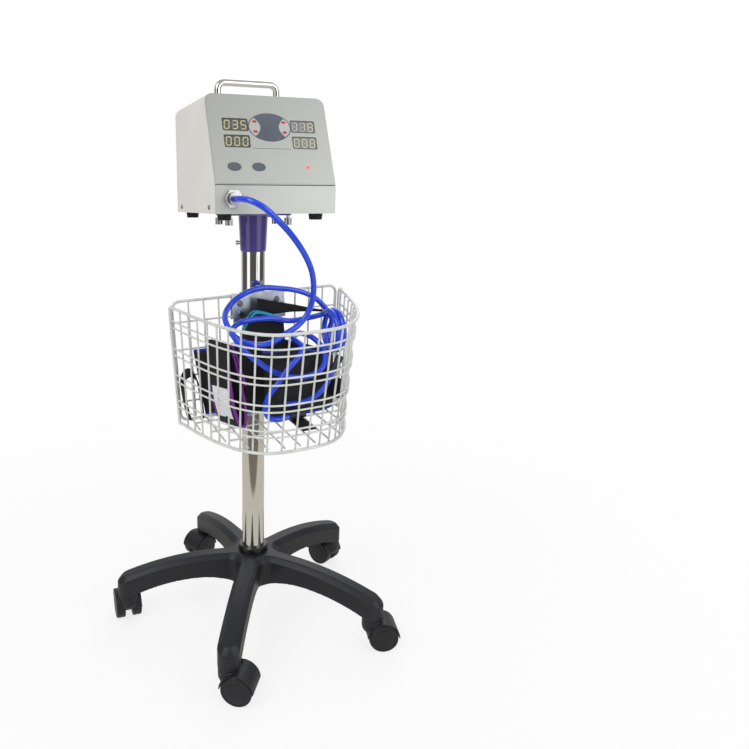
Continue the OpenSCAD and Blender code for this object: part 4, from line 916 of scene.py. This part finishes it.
class TQ_OT_straps(bpy.types.Operator):
    """Black webbing: the long strap across the back, the arch at the left, two loose ends"""
    bl_idname = "tourniquet.straps"
    bl_label = "Straps"

    def execute(self, context):
        web = woven("strap_web", tone(24, 24, 27), 1.6, 0.3)
        laid = (placed(part, on_floor) for part in (self.arch(), self.floor_end(), self.hung_end()))
        add_piece("straps", joined(self.long_strap(), *laid), web, "strap_web", ["cuff_straps"], smooth=50)
        return {"FINISHED"}

    @staticmethod
    def long_strap():
        """It narrows to its edge as it turns: its upper and lower lines meet at the right. Round the
        web, the height goes from the middle by half the width times cos t, the depth by 0.7 sin t."""
        x = np.linspace(-9, 116, 40)
        top = np.interp(x, LONG_STRAP_X, (574, 569, 562, 554, 548)) - 0.4
        low = np.interp(x, LONG_STRAP_X, (551, 547, 549, 548, 545)) + 0.4
        t = around(16)
        rise, deep = np.cos(t), 0.7 * np.sin(t)
        points = stacked(x[:, None], -47.8 + deep[None],
                         (top + low)[:, None] / 2 + (top - low)[:, None] / 2 * rise[None]).reshape(-1, 3)
        uv = stacked(x[:, None], 8 * rise[None]).reshape(-1, 2)
        faces = grid_quads(40, 16).tolist() + end_rings(40, 16)
        return at_basket(points), faces, uv

    @staticmethod
    def arch():
        """The arch at the left: its web tips towards the front over the top, and turns a little as it
        goes round. The direction across it is (cos tilt sin turn, cos tilt cos turn, sin tilt)."""
        x, z, tilt = smooth_path(ARCH_PLACES, 6).T
        tilt, turn = np.radians(tilt), np.radians(-12 * np.linspace(0, 1, len(x)))
        across = stacked(np.cos(tilt) * np.sin(turn), np.cos(tilt) * np.cos(turn), np.sin(tilt))
        return band(stacked(x, ARCH_Y, z), across, 7.8, WEB_PROFILE)

    @staticmethod
    def floor_end():
        """The end that lies on the floor in front, straight along y."""
        return band(stacked(31.0, np.linspace(-108.6, -168, 14), -1.25), (1, 0, 0), 10.8, WEB_PROFILE)

    @staticmethod
    def hung_end():
        """The end that hangs at the right, straight and turned by -75 degrees, half its own thickness
        in front of the line that it is measured from."""
        c, s = math.cos(math.radians(-75)), math.sin(math.radians(-75))
        along = np.linspace(0.3, 25.7, 10)
        path = stacked(97.5 + along * c - 0.8 * s, -95.6 + along * s + 0.8 * c, 37.0)
        return band(path, (0, 0, 1), 16.8, WEB_PROFILE)


class TQ_OT_basket(bpy.types.Operator):
    """The wire basket: back frame, front frame with its ring pairs, upright wires and floor wires"""
    bl_idname = "tourniquet.basket"
    bl_label = "Basket"

    def execute(self, context):
        s = context.scene.tq_basket
        self.frame_r, self.mesh_r = s.frame_wire * 500, s.mesh_wire * 500
        finish = coated_wire("basket_coat", tuple(s.colour))
        for name, part, nodes in (
                ("back", self.back(), ["basket_back"]), ("front", self.front(), ["basket_front"]),
                ("ring", self.rings(), [f"basket_ring_{n}" for n in range(1, 5)]),
                ("rib", self.ribs(), ["basket_ribs"]), ("floor", self.floor(), ["basket_floor"])):
            add_piece(f"basket_{name}_wires", placed(part, at_basket), finish, "basket_coat", nodes,
                      smooth=50)
        return {"FINISHED"}

    @staticmethod
    def back_point(x, h, dy):
        """A point of the back's plane: x narrows towards the floor as the front wall does."""
        half = FLOOR_HALF_W + (RIM_HALF_W - FLOOR_HALF_W) * floats(h) / BASKET_H
        return hang(floats(x) * half / RIM_HALF_W, BACK_Y + dy, BASKET_Z + floats(h))

    def back(self):
        """A frame of wire with four rounded corners."""
        half, r, top = RIM_HALF_W - 4, 12.0, BASKET_H + 5
        corners = []
        for cx, cz, start in ((half - r, r, -90), (half - r, top - r, 0),
                              (-half + r, top - r, 90), (-half + r, r, 180)):
            a = np.radians(start + np.linspace(0, 90, 9))
            corners.append(self.back_point(cx + r * np.cos(a), cz + r * np.sin(a), 0))
        return tube(np.vstack(corners), self.frame_r, 12, True)

    def front(self):
        """Rim and foot wire as one loop with its two posts."""
        turn = across_turn(np.cos(np.radians(np.linspace(10.2, 169.8, 61))))

        def bend(at, k, upper):
            a, sign, h = np.radians(90 * k / 5), 1 if upper else -1, BASKET_H if upper else 0
            return wall_point(at, h) + [0, -9 * (1 - math.sin(a)), -sign * 9 * (1 - math.cos(a))]

        left = [bend(180, k, True) for k in range(6)] + [bend(180, k, False) for k in range(5, -1, -1)]
        right = [bend(0, k, False) for k in range(6)] + [bend(0, k, True) for k in range(5, -1, -1)]
        rim, foot = wall_point(turn, BASKET_H), wall_point(180 - turn, 0.0)
        return tube(np.vstack([rim, left, foot, right]), self.frame_r, 12, True)

    def rings(self):
        """Four pairs of thinner level wires inside the front frame."""
        turn = across_turn(np.cos(np.radians(np.linspace(5.6, 174.4, 65))))
        inset = (FRAME_WIRE - MESH_WIRE) / 2
        return joined(*(tube(wall_point(turn, h + side * RING_GAP / 2, inset), self.mesh_r, 8)
                        for h in RING_HEIGHTS for side in (-1, 1)))

    def rib_turns(self):
        """Turns of the upright wires: 4 at each side 28 mm apart, 15 along the front, crowding to
        the right between lengths s of 205 and 455 along the rim by 13 sin(180 (s - 205) / 250)."""
        share = np.cos(np.linspace(0, np.pi, 361))
        s = arc_length(wall_point(across_turn(share), BASKET_H))
        side = 28.0 * np.arange(1, 5)
        front = 112 + (s[-1] - 224) * np.arange(1, 16) / 16
        front = front - 13 * np.sin(np.pi * np.clip((front - 205) / 250, 0, 1))
        return across_turn(np.interp(np.concatenate([side, front, s[-1] - side[::-1]]), s, share))

    def ribs(self):
        """Upright wires of the front wall, and the back's upright and level ones, with their welds."""
        turn, inset = self.rib_turns(), self.frame_r + self.mesh_r
        places = [wall_point(turn, h, inset / 2 + 0.6) for h in (0.0, BASKET_H)]
        for h in RING_HEIGHTS:
            places += [wall_point(turn, h + side * RING_GAP / 2, inset * 0.62) for side in (-1, 1)]
        half, top, level = RIM_HALF_W - 4, BASKET_H + 5, (FRAME_WIRE - MESH_WIRE) / 2
        x = np.array([-112, -88, -64, -40, -16, 16, 40, 64, 88, 112])
        h = np.array(RING_HEIGHTS)
        return joined(rods(wall_point(turn, 0.0, inset), wall_point(turn, BASKET_H, inset), self.mesh_r),
                      rods(self.back_point(x, 1, -inset), self.back_point(x, top - 1, -inset), self.mesh_r),
                      rods(self.back_point(2.5 - half, h, -level), self.back_point(half - 2.5, h, -level),
                           self.mesh_r),
                      beads(self.back_point(x, top, -inset / 2), (2.2, 2.2, 2.0)),
                      beads(np.vstack(places), (1.75, 1.75, 1.55)))

    def floor(self):
        """Straight floor wires from the back to the front wall, and three cross wires on them."""
        lift, inset = self.frame_r + self.mesh_r + 0.35, self.frame_r + self.mesh_r
        x = 23.0 * np.arange(-5, 6)
        ahead = 1 - (np.abs(x) / (FLOOR_HALF_W - inset)) ** WALL_POWER
        starts = hang(x, BACK_Y, BASKET_Z + lift)
        ends = hang(x, WALL_Y - (FLOOR_DEPTH - inset - 1) * ahead, BASKET_Z - FRONT_DROP * ahead + lift)
        f = np.array([0.2, 0.45, 0.7])
        half = (FLOOR_HALF_W - inset - 4) * (1 - f) ** (1 / WALL_POWER)
        y, z = WALL_Y - (FLOOR_DEPTH - inset) * f, BASKET_Z - FRONT_DROP * f + lift + MESH_WIRE + 0.1
        return joined(rods(starts, ends, self.mesh_r), rods(hang(-half, y, z), hang(half, y, z), self.mesh_r))


# Middles of the windows, of the digits in a window and of the oval field on the slope
WINDOW_X, WINDOW_ROWS, DIGIT_PITCH, FIELD_Y = 50.5, (88.5, 64), 12.1, 86
# The bars that each digit lights
SEGMENTS = {"0": "abcdef", "1": "bc", "3": "abcdg", "5": "acdfg", "8": "abcdefg"}


def segment_outline(which, width=8.3, height=13.4, bar=1.45):
    """One bar of a seven-segment digit, with pointed ends, about the digit's middle."""
    w, h, b, g = width / 2 - bar / 2, height / 2 - bar / 2, bar / 2, 0.22
    level = np.array([(-w + g, 0), (-w + g + b, b), (w - g - b, b),
                      (w - g, 0), (w - g - b, -b), (-w + g + b, -b)])
    stand = np.array([(0, g), (b, g + b), (b, h - g - b), (0, h - g), (-b, h - g - b), (-b, g + b)])
    return {"a": level + [0, h], "g": level, "d": level - [0, h], "b": stand + [w, 0], "f": stand - [w, 0],
            "c": stand * [1, -1] + [w, 0], "e": stand * [1, -1] - [w, 0]}[which]


class TQ_OT_console(bpy.types.Operator):
    """The console's printed front: windows with their digits, slate field, key fields, keys and lamp"""
    bl_idname = "tourniquet.console"
    bl_label = "Console front"

    def execute(self, context):
        s = context.scene.tq_console
        slate = moulded("key_slate", tuple(s.slate), 0.42, 1600, coat=0.1)
        self.windows(s)
        self.prints(slate)
        self.keys(slate)
        return {"FINISHED"}

    def windows(self, s):
        """Four windows, each a rounded face with a rim and three digits that lean by a tenth."""
        rims = []
        for side, x, rows, face, off, on in (
                ("left", -WINDOW_X, ("035", "000"), (92, 94, 93), (130, 129, 126), tuple(s.digit)),
                ("right", WINDOW_X, ("118", "000"), (130, 130, 132), (172, 171, 168), tone(205, 202, 174))):
            faces, unlit, shining = [], [], []
            for y, text in zip(WINDOW_ROWS, rows):
                faces.append(plate(ellipse(x, y, 18.35, 8.85, 48, 14), -1.6, -0.55))
                outer, inner = ellipse(x, y, 18.9, 9.4, 48, 14), ellipse(x, y, 18.1, 8.6, 48, 14)
                n = len(outer)
                ring = np.concatenate([np.column_stack([o, np.full(n, h)]) for o, h in
                                       ((outer, 0.02), (outer, 0.08), (inner, 0.08), (inner, 0.02))])
                rims.append((on_slope(ring), grid_quads(4, n, loop_rows=True).tolist(), ring[:, :2]))
                for place, digit in zip((-DIGIT_PITCH, 0.0, DIGIT_PITCH), text):
                    for which in "abcdefg":
                        outline = segment_outline(which)
                        outline = outline + stacked(outline[:, 1] * 0.1, 0.0) + [x + place, y]
                        bars = shining if which in SEGMENTS[digit] else unlit
                        bars.append(plate(outline, -0.56, -0.45))
            for name, parts, finish in (
                    (f"{side}_window_faces", faces, moulded(f"{side}_window_face", tone(*face), 0.4, 900)),
                    (f"{side}_segments_off", unlit, moulded(f"{side}_segment_off", tone(*off), 0.4, 900)),
                    (f"{side}_segments_lit", shining, lit(f"{side}_segment_lit", on, 1.0))):
                add_piece(name, joined(*parts), finish, "display_black")
        rim = moulded("window_rim", tone(92, 94, 92), 0.4, 900)
        add_piece("window_rims", joined(*rims), rim, "display_black")

    def prints(self, slate):
        """Printed fields: the slate ellipse with a leaf at each end, and the thin ruled line. The dark
        strip is a painted shadow, set in the fold at the panel's foot."""
        def leaf(side):
            """Between the ellipse's end, x = 30.6 sqrt(1 - (h / 20)^2), and the curve
            x = 14 + 8.4 (h / 13.8)^2, where h is the height from the ellipse's middle."""
            h = 13.8 * np.cos(np.pi * np.linspace(0, 1, 24))
            outer = np.sqrt(np.clip(1 - (h / 20.0) ** 2, 0, 1)) * 30.6
            inner = np.minimum(14.0 + 8.4 * (h / 13.8) ** 2, outer - 0.05)
            y = FIELD_Y + h
            return np.concatenate([stacked(side * outer, y), stacked(side * inner, y)[::-1]])

        light = brushed_print("key_field", tone(206, 208, 202))
        ring = moulded("field_edge", tone(74, 80, 90), 0.45, 900)
        # Painted shadow: a near-black strip put in the fold at the panel's foot, where there is only shade.
        painted_fold_shadow = moulded("seam_black", tone(28, 29, 30), 0.7, 900)
        side = HALF_W - 0.4
        for name, outline, low, high, finish, slot in (
                ("slate_edge", ellipse(0, FIELD_Y, 32.1, 21.2, 96), 0.01, 0.05, ring, "membrane_print"),
                ("slate_field", ellipse(0, FIELD_Y, 31.4, 20.5, 96), 0.02, 0.08, slate, "key_slate"),
                ("leaf_left", leaf(-1), 0.05, 0.11, light, "membrane_print"),
                ("leaf_right", leaf(1), 0.05, 0.11, light, "membrane_print"),
                ("ruled_line", box_outline(-28.2, 28.7, 53.9, 54.5), 0.01, 0.06, ring, "membrane_print"),
                ("fold_shadow_strip", box_outline(-side, side, 0.35, 1.1), -2.4, -1.4, painted_fold_shadow, "inlet_black")):
            add_piece(name, plate(outline, low, high), finish, slot)

    def keys(self, slate):
        """Two oval keys and four arrow keys, each on its own body."""
        red = moulded("key_red", tone(206, 44, 44), 0.35, 1500, coat=0.3)
        for a, b, finish, slot, places in (
                (9.7, 6.1, slate, "key_slate", (("inflate_key", -59.2, 26.7), ("deflate_key", -23.8, 26.7))),
                (3.2, 1.7, red, "key_red", (("pressure_up_key", -21.8, 94), ("pressure_down_key", -21.8, 79),
                                            ("time_up_key", 21.8, 94), ("time_down_key", 21.8, 79)))):
            for node, x, y in places:
                add_piece(node + "_cap", self.cap(x, y, a, b), finish, slot, [node], body=node, smooth=60)

    @staticmethod
    def cap(x, y, a, b):
        """A soft key: an ellipse carried down from a shallow dished top over a rounded edge to its
        flange and stem."""
        share = np.array([0.02, 0.35, 0.62, 0.8, 0.9, 0.96, 0.99, 1.0, 1.0, 1.0, 1.0])
        high = np.array([0.55, 0.6, 0.68, 0.76, 0.8, 0.74, 0.6, 0.35, -1.0, -2.8, -3.2])
        flange = [(a + 0.9, b + 0.9, -3.25), (a + 0.9, b + 0.9, -4.15), (1.5, 1.5, -4.2), (1.5, 1.5, -6.8)]
        r, t = np.vstack([stacked(share * a, share * b, high), flange]), around(56)
        points = stacked(x + r[:, :1] * np.cos(t), y + r[:, 1:2] * np.sin(t), r[:, 2:]).reshape(-1, 3)
        faces = grid_quads(len(r), 56).tolist() + end_rings(len(r), 56)
        return on_slope(points), faces, points[:, :2]


# The base's arms underneath, z = top - fall (r - middle)^2, and where the hub's underside is raised to them
ARCH_TOP, ARCH_FALL, ARCH_R = 80.0, 0.0036, 95.0
SEAT_R, HUB_R = 27.0, 60.0

# A wheel's (radius, height from its inner face), and that face's distance from the caster's middle
WHEEL_PROFILE = ((0.01, 0.0), (22.6, 0.0), (23.6, 0.5), (24.0, 1.4), (24.0, 13.2), (23.7, 14.3),
                 (22.9, 15.0), (21.8, 15.3), (18.2, 15.42), (17.8, 15.2), (17.2, 15.2), (16.8, 15.45),
                 (9.0, 15.5), (0.01, 15.5))
WHEEL_INNER = 6.5


class TQ_OT_base(bpy.types.Operator):
    """The moulded five-arm base, with the soft edges and fillets of its mould. The hub's underside is
    raised to the arms' own, z = 80 - 0.0036 (r - 95)^2, round the pole's seat"""
    bl_idname = "tourniquet.base"
    bl_label = "Base"

    def execute(self, context):
        s = context.scene.tq_stand
        finish = moulded("base_nylon", tuple(s.nylon), 0.42, 1100, 0.0001, shine=0.4)
        piece = softened("base_moulding", "star_base", s.voxel, 6, finish, keep=0.38)
        spots = np.empty(len(piece.data.vertices) * 3, np.float32)
        piece.data.vertices.foreach_get("co", spots)
        spots = spots.reshape(-1, 3)
        away = np.hypot(*(spots[:, :2] - POLE[:2] * MM).T) * 1000
        under = ARCH_TOP * MM - ARCH_FALL * MM * (away - ARCH_R) ** 2
        raised = (away > SEAT_R) & (away < HUB_R)
        spots[:, 2] = np.where(raised, np.maximum(spots[:, 2], under), spots[:, 2])
        piece.data.vertices.foreach_set("co", spots.ravel())
        piece.data.update()
        return {"FINISHED"}


def softened(name, node, voxel, rounds, finish, body=BODY, keep=1.0):
    """A CAD node's surface meshed again in small cells and smoothed, so that its edges and inner
    corners round as a moulding's do: each round moves a point half way to its neighbours' mean.
    Flat parts then give up small faces until a share of them is left."""
    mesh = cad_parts[node].data.copy()
    work = bmesh.new()
    work.from_mesh(mesh)
    bmesh.ops.remove_doubles(work, verts=work.verts, dist=1e-6)
    work.to_mesh(mesh)
    work.free()
    piece = bpy.data.objects.new(name, mesh)
    bpy.context.scene.collection.objects.link(piece)
    remesh = piece.modifiers.new("cells", "REMESH")
    remesh.mode, remesh.voxel_size = "VOXEL", voxel
    smooth = piece.modifiers.new("soften", "SMOOTH")
    smooth.factor, smooth.iterations = 0.5, rounds
    if keep < 1:
        piece.modifiers.new("thin_out", "DECIMATE").ratio = keep
    bpy.context.view_layer.update()
    graph = bpy.context.evaluated_depsgraph_get()
    made = bpy.data.meshes.new_from_object(piece.evaluated_get(graph))
    piece.modifiers.clear()
    piece.data = made
    made.materials.clear()
    made.materials.append(finish)
    made.shade_smooth()
    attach(piece, body)
    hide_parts(node)
    return piece


class TQ_OT_casters(bpy.types.Operator):
    """Five twin-wheel casters: softened hoods, and wheels turned from one profile"""
    bl_idname = "tourniquet.casters"
    bl_label = "Casters"

    def execute(self, context):
        colour = tuple(context.scene.tq_stand.nylon)
        hood = moulded("caster_nylon", shade(colour, 0.95), 0.4, 1300, 0.0001, shine=0.4)
        tread = moulded("wheel_nylon", shade(colour, 0.8), 0.36, 1500, 0.0001, shine=0.4)
        for n in range(1, 6):
            softened(f"caster_{n}_shell", f"caster_{n}_hood", 1.0 * MM, 3, hood,
                     f"caster_{n}_fork")
            add_piece(f"caster_{n}_twin_wheels", placed(self.twin(), caster_frame(n)), tread, "wheel_nylon",
                      [f"caster_{n}_wheels"], f"caster_{n}_rollers", 40)
        return {"FINISHED"}

    @staticmethod
    def twin():
        """Two wheels on an axle: tread, rounded shoulder, sunk ring and hub cap as one turned profile,
        turned about Y at the wheels' centre."""
        def turned_part(profile, sides, stand):
            p, faces, uv = lathe(profile, sides)
            return stacked(p[:, 0] + CASTER_TRAIL, stand(p[:, 2]), p[:, 1] + WHEEL_R), faces, uv

        left = turned_part(WHEEL_PROFILE, 72, lambda h: -(WHEEL_INNER + h))
        right = turned_part(WHEEL_PROFILE, 72, lambda h: WHEEL_INNER + h)
        return joined(left, right, turned_part([(4.0, -14.25), (4.0, 14.25)], 24, lambda h: h))


class TQ_OT_finishes(bpy.types.Operator):
    """Materials of the CAD nodes that keep their own shape"""
    bl_idname = "tourniquet.finishes"
    bl_label = "Finishes"

    def execute(self, context):
        c = context.scene.tq_console
        silver = tuple(c.panel)
        lamp = on_slope((49.7, 27.0, 0.0))
        coat = powder_coat("cover_paint", tuple(c.cover))
        chrome = plated("pole_chrome", tone(226, 224, 219))
        steel = turned_metal("bright_steel", tone(214, 213, 210))
        zinc = turned_metal("bracket_zinc", tone(214, 221, 230), 0.34, 900, BASKET_YAW)
        dark = turned_metal("screw_steel", tone(128, 128, 130), 0.3)
        board = board_finish("board_green", tone(30, 92, 60))
        alloy = turned_metal("cast_alloy", tone(176, 178, 180), 0.4, 700)
        for finish, nodes in (
                (moulded("collar_plastic", tone(20, 20, 22), 0.3, 900, coat=0.2), "hub_collar"),
                (chrome, "pole carry_handle"),
                (moulded("socket_plastic", tone(78, 66, 136), 0.28, 500, 0.00006, coat=0.5),
                 "console_socket"),
                (steel, "socket_screw thumb_screws hose_union union_nut caster_stems"),
                (dark, "side_screws bracket_bolts"),
                (moulded("coupling_nylon", tone(34, 38, 52), 0.4), "hose_couplings"),
                (coat, "cover rear_panel"),
                (brushed_print("tray_paint", silver), "base_tray"),
                (brushed_print("panel_alloy", silver), "front_panel"),
                (brushed_print("membrane_print", silver, lamp), "membrane"),
                (board, "display_board control_board"),
                (moulded("display_black", tone(40, 42, 40), 0.3), "digit_displays"),
                (lit("lamp_red", tone(255, 84, 100), 1.0, tone(220, 60, 70)), "status_lamp"),
                (moulded("foot_rubber", tone(30, 30, 31), 0.62, 700), "rubber_feet"),
                (moulded("inlet_black", tone(34, 34, 36), 0.4), "mains_inlet"),
                (moulded("rocker_red", tone(176, 34, 34), 0.3, coat=0.3), "power_rocker"),
                (alloy, "power_supply valve_block"),
                (powder_coat("pump_body", tone(70, 73, 78)), "air_pump"),
                (zinc, "bracket_plate bracket_strap")):
            for node in nodes.split():
                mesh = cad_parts[node].data
                mesh.materials.clear()
                mesh.materials.append(finish)
        return {"FINISHED"}


class TQ_PT_panel(bpy.types.Panel):
    """Lists the steps that build the looks, and their settings"""
    bl_idname = "TQ_PT_panel"
    bl_label = "Tourniquet"
    bl_space_type = "VIEW_3D"
    bl_region_type = "UI"
    bl_category = "Tourniquet"

    def draw(self, context):
        for step in STEPS:
            self.layout.operator(step.bl_idname)
        for group, kind in SETTINGS.items():
            for prop in kind.__annotations__:
                self.layout.prop(getattr(context.scene, group), prop)


STEPS = (TQ_OT_stage, TQ_OT_hoses, TQ_OT_cuffs, TQ_OT_straps, TQ_OT_basket, TQ_OT_console, TQ_OT_base,
         TQ_OT_casters, TQ_OT_finishes)


def register():
    for kind in (*SETTINGS.values(), *STEPS, TQ_PT_panel):
        bpy.utils.register_class(kind)
    for group, kind in SETTINGS.items():
        setattr(bpy.types.Scene, group, PointerProperty(type=kind))


def unregister():
    for group in SETTINGS:
        delattr(bpy.types.Scene, group)
    for kind in (TQ_PT_panel, *reversed(STEPS), *reversed(SETTINGS.values())):
        bpy.utils.unregister_class(kind)


def main():
    register()
    for step in STEPS:
        group, name = step.bl_idname.split(".")
        if getattr(getattr(bpy.ops, group), name)() != {"FINISHED"}:
            raise RuntimeError(f"{step.bl_idname} did not finish")


if __name__ == "__main__":
    main()
